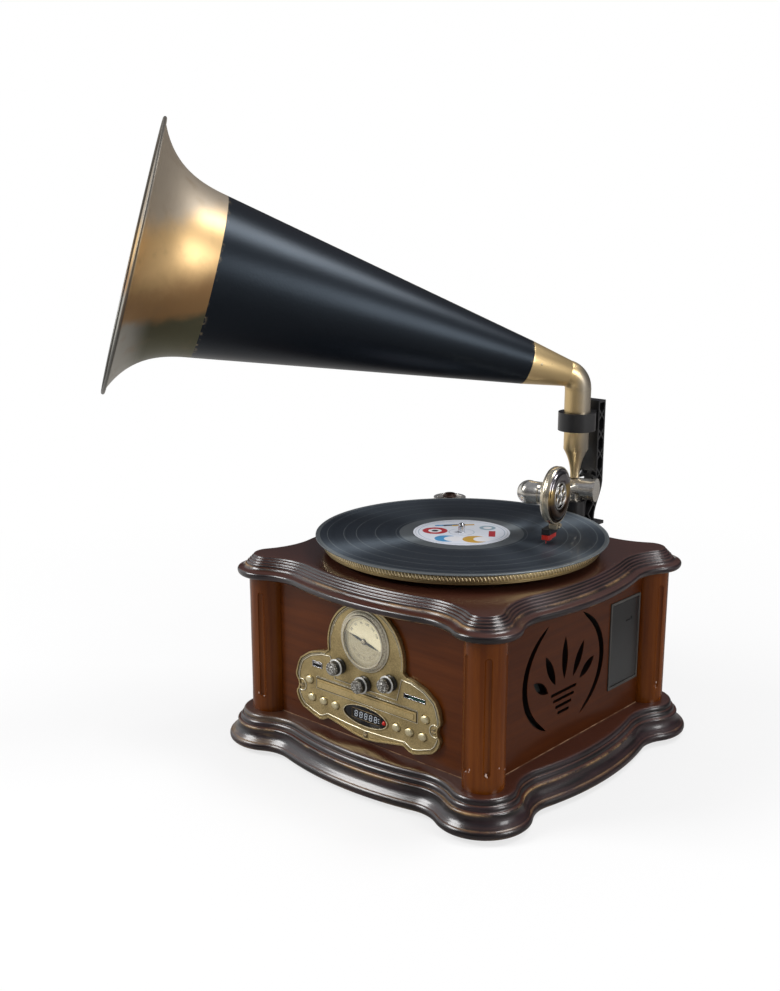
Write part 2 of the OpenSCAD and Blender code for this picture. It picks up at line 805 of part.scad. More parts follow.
// Front plate: half outline from the arch down to the middle of the lower edge
arch_centre = [0, arch_rise];
shoulder = [
    [54, 83.5], [60, 83], [76, 78], [82, 74], [89, 69], [92.5, 62.5], [95.5, 52], [95.6, 49]
];
notch_centre = [100.5, 39.5];
notch_radius = 9;
notch = arc_points(notch_centre, notch_radius, 130, 230, 4);
hip = [
    [95, 29.5], [92, 22], [86, 16], [80, 14], [70, 10.5], [62, 8.5], [57, 9.5], [50, 13.2],
    [45, 12.4], [28, 9.2], [14, 6.4]
];
plate_half = concat(arc_points(arch_centre, arch_radius, 90, -9, 14), shoulder, notch, hip);
plate_outline = concat(plate_half, [[0, 5]],
    reversed([for (p = drop_first(plate_half)) [-p.x, p.y]]));

module plate_holes(clearance) {
    at_shelf([0, drawer_rise])
        square([drawer_width + 2 * clearance, drawer_height + 2 * clearance], center = true);
    at_shelf([0, window_rise])
        polygon(ellipse_points(window_half_width + clearance, window_half_height + clearance, 36));
    for (p = button_places) at_shelf(p)
        slot_shape(button_width + 2 * clearance, button_height + 2 * clearance);
    for (p = knob_places) at_shelf(p) circle(knob_shaft_radius + clearance);
    at_shelf([0, dial_rise]) circle(pointer_shaft_radius + run_clearance, $fn = 24);
    at_shelf(usb_place) square([usb_size.x + clearance, usb_size.y + clearance], center = true);
    at_shelf(card_place) square([card_size.x + clearance, card_size.y + clearance], center = true);
    for (p = plate_screw_places) at_shelf(p) circle(screw_radius, $fn = 24);
}
module border(outer, inner) {
    translate([0, shelf_z]) difference() {
        polygon(inset(plate_outline, outer));
        polygon(inset(plate_outline, inner));
    }
}
pointer_shaft_radius = 1.2;
border_width = 1.8;
window_rim = [2, 1.6];
module fascia() {
    color(antique_brass) {
        on_front(panel_face) linear_extrude(plate_thickness) difference() {
            translate([0, shelf_z]) polygon(plate_outline);
            plate_holes(gap);
        }
        on_front(plate_face) linear_extrude(border_height) difference() {
            border(0, border_width);
            at_shelf([0, dial_rise]) circle(dial_radius + 0.2);
        }
        on_front(plate_face) linear_extrude(border_height) at_shelf([0, window_rise])
            difference() {
                polygon(ellipse_points(window_half_width + window_rim.x,
                    window_half_height + window_rim.y, 36));
                polygon(ellipse_points(window_half_width + gap, window_half_height + gap, 36));
            }
    }
}

// Dial: ring, printed face, pointer and glass
dial_inner = dial_radius - dial_ring_width;
face_thickness = 1.2;
glass_thickness = 1.2;
lip_thickness = 0.6;
lip_width = 1.2;
module at_dial(y) { on_front(y) at_shelf([0, dial_rise]) children(); }
module dial_ring() {
    color(antique_brass) at_dial(plate_face) {
        tube(dial_radius, dial_inner, dial_depth - lip_thickness);
        translate([0, 0, dial_depth - lip_thickness])
            tube(dial_radius - 1, dial_inner - lip_width, lip_thickness);
    }
}
module dial_face() {
    color([0.86, 0.80, 0.62]) at_dial(plate_face)
        tube(dial_inner - seat_clearance, pointer_shaft_radius + run_clearance, face_thickness);
}
module dial_glass() {
    color([0.8, 0.85, 0.85, 0.35])
        at_dial(plate_face + dial_depth - lip_thickness - glass_thickness)
            cylinder(r = dial_inner - seat_clearance, h = glass_thickness);
}
needle_half_length = 19.5;
needle_half_width = 1.2;
needle_turn = -15;
module dial_pointer() {
    color([0.08, 0.07, 0.06]) {
        at_dial(panel_face - 3)
            cylinder(r = pointer_shaft_radius, h = plate_thickness + 3 + face_thickness + gap,
                $fn = 24);
        at_dial(plate_face + face_thickness + gap) {
            cylinder(r = 3, h = 0.9, $fn = 32);
            rotate(needle_turn) linear_extrude(0.6) polygon([
                [needle_half_length, 0], [needle_half_length / 2, needle_half_width],
                [-needle_half_length / 2, needle_half_width], [-needle_half_length, 0],
                [-needle_half_length / 2, -needle_half_width],
                [needle_half_length / 2, -needle_half_width]]);
        }
    }
}

// Display: oval lens with the module behind it, and the red remote lens
remote_place = [24.6, 28.9];
remote_radius = 2.2;
board_face = panel_back - 4;
module display_window() {
    color([0.05, 0.06, 0.07]) difference() {
        union() {
            on_front(panel_face) at_shelf([0, window_rise]) linear_extrude(plate_thickness + 0.4)
                polygon(ellipse_points(window_half_width, window_half_height, 36));
            on_front(board_face) at_shelf([0, window_rise])
                linear_extrude(panel_face - board_face) square([40, 14], center = true);
        }
        on_front(board_face + 4) at_shelf(remote_place)
            cylinder(r = remote_radius + 0.05, h = 20, $fn = 32);
    }
    color([0.6, 0.03, 0.02]) on_front(board_face + 6) at_shelf(remote_place) {
        cylinder(r = remote_radius, h = plate_face - board_face - 6, $fn = 32);
        translate([0, 0, plate_face - board_face - 6]) sphere(remote_radius, $fn = 32);
    }
}

// Sockets on the front for a memory stick and a card
module socket_shell(place, size, wall, length) {
    on_front(board_face) at_shelf(place) difference() {
        translate([-size.x / 2, -size.y / 2, 0]) cube([size.x, size.y, length]);
        translate([wall - size.x / 2, wall - size.y / 2, 6])
            cube([size.x - 2 * wall, size.y - 2 * wall, length]);
    }
}
module media_sockets() {
    color(steel) {
        socket_shell(usb_place, usb_size, 0.7, plate_face - board_face + 0.4);
        on_front(board_face + 5) at_shelf(usb_place) translate([-5.5, 0.3, 0])
            cube([11, 1.6, 11.5]);
    }
    color(black_plastic)
        socket_shell(card_place, card_size, 0.9, plate_face - board_face + 0.3);
}

// Board behind the front: controls, switches and the potentiometers' bushes
board_thickness = 1.6;
lower_board_size = [172, 43];
lower_board_rise = 19;
upper_board_size = [160, 25];
upper_board_rise = 60;
chassis_margin = 1.5;
chassis_half = 69.5;
chassis_rise = 36.5;
chassis_height = 18;
chassis_bottom = shelf_z + chassis_rise;
chassis_top = chassis_bottom + chassis_height;
module control_board() {
    back = board_face - board_thickness;
    color(board_green) on_front(back) linear_extrude(board_thickness) difference() {
        translate([-lower_board_size.x / 2, shelf_z + lower_board_rise]) square(lower_board_size);
        translate([-chassis_half - chassis_margin, chassis_bottom - board_margin])
            square([2 * (chassis_half + chassis_margin), chassis_height + 2 * board_margin]);
    }
    color(board_green) on_front(back) linear_extrude(board_thickness) difference() {
        translate([-upper_board_size.x / 2, shelf_z + upper_board_rise]) square(upper_board_size);
        for (p = knob_places) at_shelf(p) circle(knob_shaft_radius + run_clearance);
    }
    color(steel) on_front(board_face) for (p = knob_places) at_shelf(p) {
        tube(knob_radius, knob_shaft_radius + run_clearance, pot_depth);
        tube(pot_bush_radius, knob_shaft_radius + run_clearance, panel_face - board_face - gap);
    }
    color(black_plastic) on_front(board_face) for (p = button_places) at_shelf(p)
        translate([-switch_width / 2, -switch_width / 2, 0])
            cube([switch_width, switch_width, switch_height]);
}
board_margin = 0.5;
pot_depth = 3.6;
switch_width = 6;
switch_height = 2.4;

// Power supply and amplifier board on the bottom board
main_board_place = [-50, 30];
main_board_size = [110, 80];
stand_off_height = 6;
stand_off_radius = 3;
stand_off_inset = 4;
fin_count = 6;
fin_pitch = 12;
fin_size = [3, 12, 30];
fin_place = [-40, 96];
core_size = [44, 52, 40];
core_place = [-114, 40];
coil_size = [32, 72, 26];
coil_rise = 8;
module main_board() {
    color(board_green) translate([main_board_place.x, main_board_place.y, inside_z + stand_off_height])
        cube([main_board_size.x, main_board_size.y, board_thickness]);
    color(steel) for (x = [0, 1]) for (y = [0, 1]) translate([
            main_board_place.x + stand_off_inset + x * (main_board_size.x - 2 * stand_off_inset),
            main_board_place.y + stand_off_inset + y * (main_board_size.y - 2 * stand_off_inset),
            inside_z])
        cylinder(r = stand_off_radius, h = stand_off_height, $fn = 24);
    color([0.7, 0.7, 0.72])
        translate([fin_place.x, fin_place.y, inside_z + stand_off_height + board_thickness])
            for (i = [0:fin_count - 1]) translate([fin_pitch * i, 0, 0]) cube(fin_size);
    color([0.35, 0.3, 0.25]) translate([core_place.x, core_place.y, inside_z]) {
        cube(core_size);
        translate([(core_size.x - coil_size.x) / 2, (core_size.y - coil_size.y) / 2, coil_rise])
            cube(coil_size);
    }
}

// Power inlet and line sockets at the back
pin_pitch = 8.6;
module mains_inlet() {
    depth = 16;
    color(black_plastic) on_back(panel_face) at_shelf(inlet_place) difference() {
        union() {
            translate([-inlet_size.x / 2 - 4, -inlet_size.y / 2 - 3, 0])
                cube([inlet_size.x + 8, inlet_size.y + 6, 2]);
            translate([-inlet_size.x / 2, -inlet_size.y / 2, -depth])
                cube([inlet_size.x, inlet_size.y, depth]);
        }
        translate([0, 0, 2 - 12]) linear_extrude(20) slot_shape(19, 10.5);
    }
    color(steel) on_back(panel_face) at_shelf(inlet_place) for (s = [-1, 1])
        translate([s * pin_pitch / 2, 0, -10]) cylinder(r = 1.2, h = 10, $fn = 24);
}
jack_radius = 4.15;
jack_length = 9;
module rear_sockets() {
    color(black_plastic) on_back(panel_face) at_shelf(sockets_place) difference() {
        translate([-sockets_size.x / 2, -sockets_size.y / 2, 0])
            cube([sockets_size.x, sockets_size.y, 2]);
        for (s = [-1, 1]) translate([s * (sockets_size.x / 2 - 3), 0, -1])
            cylinder(r = 1.6, h = 4, $fn = 24);
    }
    color(steel) on_back(panel_face + 2) at_shelf(sockets_place) for (s = [-1, 1])
        translate([s * 10, 0, 0]) difference() {
            cylinder(r = jack_radius, h = jack_length);
            translate([0, 0, 1]) cylinder(r = 1.6, h = jack_length, $fn = 24);
        }
}

// Compact disc drawer, its chassis and its hub
drawer_front = 3;
chassis_wall = 1.3;
chassis_depth = 146;
bezel_gap = 0.3;
drawer_z = shelf_z + drawer_rise;
tray_half = drawer_width / 2 - 1.5;
tray_bottom = drawer_z - drawer_height / 2 + 0.5;
tray_thickness = 6.5;
well_depth = 3;
hub_height = 2.4;
module cd_drawer() {
    front = plate_face + 1.5;
    color(antique_brass) on_front(front - drawer_front)
        translate([-drawer_width / 2 + bezel_gap, drawer_z - drawer_height / 2 + bezel_gap, 0])
            cube([drawer_width - 2 * bezel_gap, drawer_height - 2 * bezel_gap, drawer_front]);
    color([0.12, 0.12, 0.13]) difference() {
        translate([-tray_half, drawer_front - front, tray_bottom])
            cube([2 * tray_half, drawer_length - drawer_front, tray_thickness]);
        translate([0, disc_well_radius + 8 - front, tray_bottom + tray_thickness - well_depth])
            cylinder(r = disc_well_radius, h = well_depth + 1);
        translate([0, disc_well_radius + 8 - front, tray_bottom - 1])
            cylinder(r = 19, h = tray_thickness);
    }
}
hub_y = disc_well_radius + 8 - plate_face - 1.5;
module cd_chassis() {
    front = panel_back - 0.3;
    inner = tray_half + gap;
    color([0.55, 0.56, 0.58]) difference() {
        translate([-chassis_half, -front, chassis_bottom])
            cube([2 * chassis_half, chassis_depth, chassis_top - chassis_bottom]);
        translate([-inner, -front - 1, tray_bottom - gap])
            cube([2 * inner, chassis_depth - 2, tray_thickness + 2 * gap]);
        translate([0, hub_y, tray_bottom - gap - hub_height - gap])
            cylinder(r = 16, h = hub_height + 2 * gap);
        translate([0, hub_y, chassis_bottom + 0.5])
            cylinder(r = 1 + run_clearance, h = 10, $fn = 24);
    }
    color([0.55, 0.56, 0.58]) for (s = [-1, 1])
        translate([s * (chassis_half + rail_thickness / 2) - rail_thickness / 2, rail_start, inside_z])
            cube([rail_thickness, rail_length, chassis_top - inside_z]);
}
rail_thickness = 1.5;
rail_length = 100;
rail_start = -110;
module cd_hub() {
    z = tray_bottom - gap - hub_height;
    color(black_plastic) translate([0, hub_y, 0]) {
        translate([0, 0, z]) cylinder(r = 14, h = hub_height - gap);
        translate([0, 0, chassis_bottom + 0.8])
            cylinder(r = 1, h = z + 0.5 - chassis_bottom, $fn = 24);
    }
}

// Cassette deck in the right panel, and its drop-down door
deck_rim = 2.7;
deck_proud = 1.2;
door_thickness = 3.5;
door_gap = 0.3;
hinge_radius = 1.8;
hinge_pin_radius = 1;
deck_z0 = shelf_z + deck_rise;
door_half = deck_width / 2 - deck_rim - door_gap;
door_bottom = deck_z0 - deck_height / 2 + deck_rim + door_gap;
door_top = deck_z0 + deck_height / 2 - deck_rim - door_gap;
door_face = panel_face + deck_proud - 0.2;
hinge_x = door_face - hinge_radius;
hinge_z = door_bottom + hinge_radius;
slot_depth = 48;
deck_flange = 3;
module cassette_deck() {
    half = deck_width / 2;
    face = panel_face + deck_proud;
    recess = hinge_x - hinge_radius - 2;
    color([0.42, 0.44, 0.45]) difference() {
        union() {
            translate([panel_back - slot_depth, deck_y - half + 2, deck_z0 - deck_height / 2 + 2])
                cube([slot_depth, deck_width - 4, deck_height - 4]);
            translate([panel_back - deck_flange, deck_y - half - 3, deck_z0 - deck_height / 2 - 4])
                cube([deck_flange, deck_width + 5, deck_height + 8]);
            translate([panel_back, deck_y - half, deck_z0 - deck_height / 2])
                cube([face - panel_back, deck_width, deck_height]);
        }
        translate([recess, deck_y - half + deck_rim, deck_z0 - deck_height / 2 + deck_rim])
            cube([20, deck_width - 2 * deck_rim, deck_height - 2 * deck_rim]);
        translate([panel_back - slot_depth + 2, deck_y - slot_width / 2,
            deck_z0 - slot_height / 2])
            cube([slot_depth + 20, slot_width, slot_height]);
        translate([hinge_x, deck_y - half + 1, hinge_z]) rotate([-90, 0, 0])
            cylinder(r = hinge_pin_radius + run_clearance, h = deck_width - 2, $fn = 32);
    }
}
module cassette_door() {
    pin_half = deck_width / 2 - 1.5;
    color([0.48, 0.5, 0.52]) difference() {
        union() {
            translate([door_face - door_thickness, deck_y - door_half, hinge_z])
                cube([door_thickness, 2 * door_half, door_top - hinge_z]);
            translate([hinge_x, deck_y - door_half, hinge_z]) rotate([-90, 0, 0])
                cylinder(r = hinge_radius, h = 2 * door_half, $fn = 32);
            translate([hinge_x, deck_y - pin_half, hinge_z]) rotate([-90, 0, 0])
                cylinder(r = hinge_pin_radius, h = 2 * pin_half, $fn = 32);
        }
        translate([door_face - 1, deck_y + 1, door_top - 22]) cube([2, 12, 3]);
    }
}

// Frames of the arm: at its lift hinge, and in the sound box's plane
hinge_z0 = deck_z + hinge_rise;
disc_toe = -4.5;
module at_hinge() { translate([pivot_x, pivot_y, hinge_z0]) rotate([0, 0, arm_angle]) children(); }
module at_disc() {
    // Origin in the middle of the sound box, +X forwards and +Y out of its face
    at_hinge() translate([arm_length, 0, arm_rise]) rotate([0, 0, disc_toe])
        translate([0, disc_reach, 0]) children();
}
module along_y(y) { translate([0, y, 0]) rotate([-90, 0, 0]) children(); }

cap_thickness = 3;
cap_radius = barrel_radius + 1;
cross_half = barrel_half + gap;
post_bottom = post_floor + gap;
collar_height = 1;
module arm_yoke() {
    color(old_silver) {
        translate([pivot_x, pivot_y, post_bottom])
            cylinder(r = post_radius, h = hinge_z0 - post_bottom);
        translate([pivot_x, pivot_y, pedestal_top + gap / 2])
            cylinder(r = post_radius + 3, h = collar_height - gap / 2);
        at_hinge() {
            along_y(-cross_half) cylinder(r = cross_radius, h = 2 * cross_half);
            for (k = [0, 1]) mirror([0, k, 0]) along_y(cross_half)
                cylinder(r = cap_radius, h = cap_thickness);
        }
    }
}
arm_thick = 8.5;
arm_path = [arm_length, 0, arm_rise];
arm_tilt = atan2(arm_rise, arm_length);
module arm_tube() {
    stub = disc_reach - disc_thickness / 2;
    color([0.60, 0.58, 0.52]) at_hinge() {
        difference() {
            union() {
                along_y(-barrel_half) cylinder(r = barrel_radius, h = 2 * barrel_half);
                rotate([0, 90 - arm_tilt, 0]) translate([0, 0, barrel_radius - 4])
                    cylinder(r1 = arm_tube_radius, r2 = arm_thick,
                        h = norm(arm_path) - barrel_radius + 4);
            }
            along_y(-barrel_half - 1)
                cylinder(r = cross_radius + run_clearance, h = 2 * barrel_half + 2);
            translate([-barrel_radius - 1, -post_radius - 4, -barrel_radius - 3])
                cube([2 * barrel_radius + 2, 2 * post_radius + 8, barrel_radius + 1]);
        }
        translate(arm_path) {
            sphere(elbow_radius);
            rotate([0, 0, disc_toe]) along_y(0) {
                cylinder(r = elbow_radius - 0.6, h = stub * 0.55);
                cylinder(r = elbow_radius - 3, h = stub);
            }
        }
    }
}

// Sound box with its clamp, its cast cover, the cartridge and the stylus
rear_depth = 8.4;
cover_recess = 1;
clamp_drop = 5;
clamp_half = 6;
cover_holes = 4;
module sound_box() {
    half = disc_thickness / 2;
    color([0.58, 0.55, 0.47]) at_disc() {
        difference() {
            along_y(-half) cylinder(r = disc_radius, h = disc_thickness - cover_recess);
            along_y(rear_depth - half) cylinder(r = disc_radius - 1.5, h = disc_thickness);
            along_y(4 - half) cylinder(r = 11, h = disc_thickness);
        }
        difference() {
            translate([-clamp_half, -half, -disc_radius - clamp_drop])
                cube([2 * clamp_half, disc_thickness - 2, clamp_drop + 3]);
            along_y(-disc_thickness) cylinder(r = disc_radius - 0.5, h = 3 * disc_thickness);
        }
    }
}
module sound_box_cover() {
    base = rear_depth - disc_thickness / 2;
    rim = disc_radius - 1.5 - seat_clearance;
    color(old_silver) at_disc() difference() {
        union() {
            along_y(base) cylinder(r = rim, h = disc_thickness - rear_depth);
            along_y(base) cylinder(r1 = rim - 3, r2 = rim - 12, h = disc_thickness - rear_depth + 2);
        }
        along_y(base + 1.6) cylinder(r = 11, h = 10);
        for (i = [0:cover_holes - 1]) rotate([0, 45 + 90 * i, 0]) translate([6.4, 0, 0])
            along_y(base - 1) cylinder(r = 2.7, h = 5, $fn = 24);
    }
}
cartridge_z = -disc_radius - clamp_drop;
cartridge_height = 6.5;
carrier_height = 6.5;
tip_x = 4.9;
tip_y = -6;
module cartridge() {
    color(black_plastic) at_disc()
        translate([-14, tip_y - 4.5, cartridge_z - cartridge_height])
            cube([21, 9, cartridge_height]);
}
module stylus() {
    top = cartridge_z - cartridge_height;
    tip_z = record_top + gap - hinge_z0 - arm_rise;
    color([0.72, 0.06, 0.05]) at_disc() {
        translate([-12, tip_y - 3.5, top - carrier_height + 2]) cube([20, 7, carrier_height - 2]);
        translate([-6, tip_y - 2, top - carrier_height]) cube([8, 4, 3]);
    }
    color(steel) at_disc() {
        translate([tip_x, tip_y, tip_z + 1]) cylinder(r = 0.5, h = top - tip_z - 3, $fn = 24);
        translate([tip_x, tip_y, tip_z]) cylinder(r1 = 0.1, r2 = 0.5, h = 1.05, $fn = 24);
    }
}

// Horn: neck and tube, bend, cone and bell, turning together in the clamp ring
corner_z = deck_z + corner_rise;
turn = 90 - horn_slope;
bend_run = bend_radius * tan(turn / 2);
neck_top = ring_z - 21;
neck_bottom = hinge_z0 + barrel_radius + 0.6;
neck_small = 5;
lower_radius = tube_radius - clamp_ledge;
tube_top = corner_z - bend_run;
// Soldered seam between the tube, the bend and the flared piece
seam_gap = 0.05;
module at_pivot(z) { translate([pivot_x, pivot_y, z]) children(); }
module along_horn(s) {
    at_pivot(corner_z) rotate([0, 90 - horn_slope, horn_angle]) translate([0, 0, s]) children();
}
function neck_radius(t) = neck_small + (lower_radius - neck_small) * t ^ 2.2;
module horn_tube() {
    steps = 8;
    rise = neck_top - neck_bottom;
    color(antique_brass) {
        at_pivot(neck_bottom) rotate_extrude() polygon(concat(
            [for (i = [0:steps]) [neck_radius(i / steps), rise * i / steps]],
            [[lower_radius - horn_wall, rise], [neck_small - 2, 12], [neck_small - 2, 0]]));
        at_pivot(neck_top)
            tube(lower_radius, lower_radius - horn_wall, ring_z + clamp_step + gap / 2 - neck_top);
        at_pivot(ring_z + clamp_step + gap / 2)
            tube(tube_radius, lower_radius - horn_wall,
                tube_top - seam_gap - ring_z - clamp_step - gap / 2);
    }
}
module horn_elbow() {
    inner = tube_radius - horn_wall;
    flare_length = cone_start - bend_run - seam_gap;
    color(antique_brass) {
        at_pivot(tube_top) rotate([0, 0, horn_angle]) translate([bend_radius, 0, 0])
            rotate([90, 0, 0]) rotate([0, 0, 180 - turn]) rotate_extrude(angle = turn)
                translate([bend_radius, 0, 0]) difference() {
                    circle(tube_radius, $fn = 48);
                    circle(inner, $fn = 48);
                }
        along_horn(bend_run + seam_gap) rotate_extrude() polygon([
            [inner, 0], [tube_radius, 0], [cone_small, flare_length],
            [cone_small - horn_wall, flare_length]]);
    }
}
module horn_cone() {
    length = cone_end - cone_start;
    slope = (cone_large - cone_small) / length;
    color([0.05, 0.055, 0.07]) along_horn(cone_start) difference() {
        cylinder(r1 = cone_small, r2 = cone_large, h = length);
        translate([0, 0, -1]) cylinder(r1 = cone_small - horn_wall - slope,
            r2 = cone_large - horn_wall + slope, h = length + 2);
    }
}
flare_scale = 27;
flare_power = 0.9;
flare_end = exp(-(bell_length / flare_scale) ^ flare_power);
flare_base = (cone_large - mouth_radius * flare_end) / (1 - flare_end);
function flare_radius(u) =
    flare_base + (mouth_radius - flare_base) * exp(-(u / flare_scale) ^ flare_power);
module horn_bell() {
    steps = 14;
    back = [for (i = [steps:-1:0]) let (u = bell_length * (i / steps) ^ 1.6)
        [flare_radius(u), bell_length - u]];
    wall = [for (i = [0:steps]) let (u = bell_length * (i / steps) ^ 1.6)
        [flare_radius(u) - horn_wall, bell_length - u]];
    color(antique_brass) along_horn(cone_end) {
        rotate_extrude($fn = 96) polygon(concat(back, wall));
        translate([0, 0, bell_length]) rotate_extrude($fn = 96)
            translate([mouth_radius - bead_radius / 2, 0]) circle(bead_radius, $fn = 24);
    }
}

// Knobs and buttons
knob_bottom = 0.5;
flutes = 20;
module knob(place) {
    on_front(board_face + gap) at_shelf(place)
        cylinder(r = knob_shaft_radius, h = plate_face + knob_bottom - board_face);
    on_front(plate_face + knob_bottom) at_shelf(place) difference() {
        union() {
            cylinder(r = knob_radius, h = knob_length * 0.75);
            translate([0, 0, knob_length * 0.75])
                cylinder(r1 = knob_radius, r2 = knob_radius - 1.6, h = knob_length * 0.25);
        }
        for (i = [0:flutes - 1]) rotate(360 * i / flutes) translate([knob_radius + 0.3, 0, 1.5])
            cylinder(r = 0.9, h = knob_length, $fn = 16);
    }
}
module volume_knob() { color(old_silver) knob(knob_places[0]); }
module function_knob() { color(old_silver) knob(knob_places[1]); }
module tuning_knob() { color(old_silver) knob(knob_places[2]); }

button_flange = 1;
module button(i) {
    stem_end = board_face + switch_height + button_travel + gap;
    color([0.80, 0.72, 0.46]) at_button(i) {
        on_front(panel_face - button_flange - 0.2) linear_extrude(button_flange)
            slot_shape(button_width + 3, button_height + 3);
        on_front(panel_face - 0.5) linear_extrude(plate_thickness + button_rise - 0.3)
            slot_shape(button_width, button_height);
        on_front(plate_face + button_rise - 0.8) linear_extrude(0.8)
            slot_shape(button_width - 1.4, button_height - 1.4);
        on_front(stem_end) cylinder(r = 1.5, h = panel_face - 1 - stem_end, $fn = 24);
    }
}
module at_button(i) { translate([button_places[i].x, 0, shelf_z + button_places[i].y]) children(); }

feet();
base_moulding();
bottom_board();
corner_columns();
front_panel();
right_panel();
left_panel();
back_panel();
top_moulding();
grille_cloths();
speakers();
spindle_bearing();
drive_belt();
turntable_motor();
single_adaptor();
horn_bracket();
screws();
fascia();
dial_ring();
dial_face();
dial_glass();
display_window();
media_sockets();
control_board();
main_board();
mains_inlet();
rear_sockets();
cd_chassis();
cassette_deck();
platter();
slip_mat();
record();
record_label();
spindle();
motor_pulley();
arm_yoke();
arm_tube();
sound_box();
sound_box_cover();
cartridge();
stylus();
horn_tube();
horn_elbow();
horn_cone();
horn_bell();
dial_pointer();
volume_knob();
function_knob();
tuning_knob();
button(0);  // power_button
button(1);  // program_button
button(2);  // repeat_button
button(3);  // stop_button
button(4);  // play_button
button(5);  // skip_back_button
button(6);  // skip_forward_button
button(7);  // record_button
cd_drawer();
cd_hub();
cassette_door();
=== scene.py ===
import math

import bmesh
import bpy
from mathutils import Matrix, Vector


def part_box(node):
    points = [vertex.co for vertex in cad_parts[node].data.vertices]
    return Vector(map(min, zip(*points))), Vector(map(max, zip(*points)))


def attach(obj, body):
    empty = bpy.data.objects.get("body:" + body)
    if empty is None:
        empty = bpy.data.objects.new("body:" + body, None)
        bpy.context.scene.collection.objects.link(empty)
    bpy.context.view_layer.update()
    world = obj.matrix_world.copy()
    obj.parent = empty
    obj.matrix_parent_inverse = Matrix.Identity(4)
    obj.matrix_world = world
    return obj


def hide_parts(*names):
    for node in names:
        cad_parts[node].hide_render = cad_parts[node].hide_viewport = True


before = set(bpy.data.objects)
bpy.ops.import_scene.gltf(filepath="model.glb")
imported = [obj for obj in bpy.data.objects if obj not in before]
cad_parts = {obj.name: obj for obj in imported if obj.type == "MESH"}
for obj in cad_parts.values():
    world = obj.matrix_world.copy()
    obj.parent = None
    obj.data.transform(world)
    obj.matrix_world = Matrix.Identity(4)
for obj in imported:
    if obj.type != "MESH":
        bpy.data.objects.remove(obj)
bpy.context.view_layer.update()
MM = 0.001

# Camera, light and floor
# The photograph looks at the player's front right corner from a little above the record.
# The camera was worked out from the record's ellipse, the columns and the corner outline.
camera_place = Vector((773.2, -980.5, 561.2)) * MM
camera_turn = math.radians(41.655)
camera_pitch = math.radians(14.566)
picture_height = 991
focal_pixels = 1249.1
axis_drop = 24.5

lens = bpy.data.cameras.new("camera")
lens.sensor_fit = "VERTICAL"
lens.sensor_height = 24
lens.lens = focal_pixels / picture_height * lens.sensor_height
lens.shift_y = axis_drop / picture_height
lens.clip_end = 50
camera = bpy.data.objects.new("camera", lens)
camera.location = camera_place
camera.rotation_euler = (math.pi / 2 - camera_pitch, 0, camera_turn)
bpy.context.scene.collection.objects.link(camera)
bpy.context.scene.camera = camera
bpy.context.scene.view_settings.view_transform = "Standard"


class Value:
    """A number that a finish's nodes give, which Python's operators can work on."""

    def __init__(self, tree, socket):
        self.tree = tree
        self.socket = socket

    def math(self, operation, *others):
        return self.tree.node("Math", {"operation": operation}, dict(enumerate((self,) + others)))

    def __add__(self, other):
        return self.math("ADD", other)

    __radd__ = __add__

    def __sub__(self, other):
        return self.math("SUBTRACT", other)

    def __rsub__(self, other):
        return self.tree.node("Math", {"operation": "SUBTRACT"}, {0: other, 1: self})

    def __mul__(self, other):
        return self.math("MULTIPLY", other)

    __rmul__ = __mul__

    def __truediv__(self, other):
        return self.math("DIVIDE", other)

    def __pow__(self, other):
        return self.math("POWER", other)

    def __abs__(self):
        return self.math("ABSOLUTE")

    def step(self, low, high):
        """0 up to low, 1 from high, and smooth between; low may be the larger."""
        return self.tree.node(
            "MapRange", {"interpolation_type": "SMOOTHSTEP"}, {0: self, 1: low, 2: high}
        )


class Tree:
    """The nodes of one material or of the world."""

    def __init__(self, holder):
        holder.use_nodes = True
        self.nodes = holder.node_tree.nodes
        self.links = holder.node_tree.links
        self.nodes.clear()

    def node(self, kind, settings=None, sockets=None, output=0):
        made = self.nodes.new(kind if "Node" in kind else "ShaderNode" + kind)
        for key, value in (settings or {}).items():
            setattr(made, key, value)
        for key, value in (sockets or {}).items():
            self.feed(made.inputs[key], value)
        return Value(self, made.outputs[output])

    def feed(self, socket, value):
        if isinstance(value, Value):
            self.links.new(value.socket, socket)
        elif socket.type == "RGBA":
            socket.default_value = (*value, 1)
        else:
            socket.default_value = value

    def mix(self, share, first, second):
        """Colour between first and second."""
        return self.node(
            "Mix", {"data_type": "RGBA"}, {0: share, 6: first, 7: second}, output=2
        )

    def seen(self):
        """1 on what the camera sees, straight or through glass."""
        straight = self.node("LightPath", output="Is Camera Ray")
        return straight + self.node("LightPath", output="Is Transmission Ray")

    def mirrored(self):
        """1 on what metal and lacquer mirror."""
        return self.node("LightPath", output="Is Glossy Ray")


# The backdrop is white where it is seen. What metal and lacquer mirror is a dim room with a
# tall window on the left and a weaker one on the right, which give them their shape.
world = bpy.data.worlds.new("studio")
bpy.context.scene.world = world
air = Tree(world)
look = air.node("TexCoord", output="Generated")


def room_window(direction, near, far):
    """1 in a direction of the room, fading to 0 between two angles from it."""
    towards = tuple(Vector(direction).normalized())
    facing = air.node("VectorMath", {"operation": "DOT_PRODUCT"}, {0: look, 1: towards}, output="Value")
    return facing.step(math.cos(math.radians(far)), math.cos(math.radians(near)))


look_up = air.node("SeparateXYZ", sockets={0: look}, output="Z")
room = air.mix(look_up.step(0.0, 0.9), (0.030, 0.028, 0.030), (0.17, 0.175, 0.20))
room = air.mix(room_window((-0.85, -0.35, 0.35), 22, 42), room, (0.80, 0.82, 0.85))
room = air.mix(room_window((0.9, 0.15, 0.2), 16, 36) * 0.9, room, (0.55, 0.53, 0.53))
shade = air.mix(air.mirrored(), (0.36, 0.36, 0.37), room)
backdrop = air.node("Background", sockets={"Color": air.mix(air.seen(), shade, (1, 1, 1))})
air.links.new(backdrop.socket, air.nodes.new("ShaderNodeOutputWorld").inputs[0])

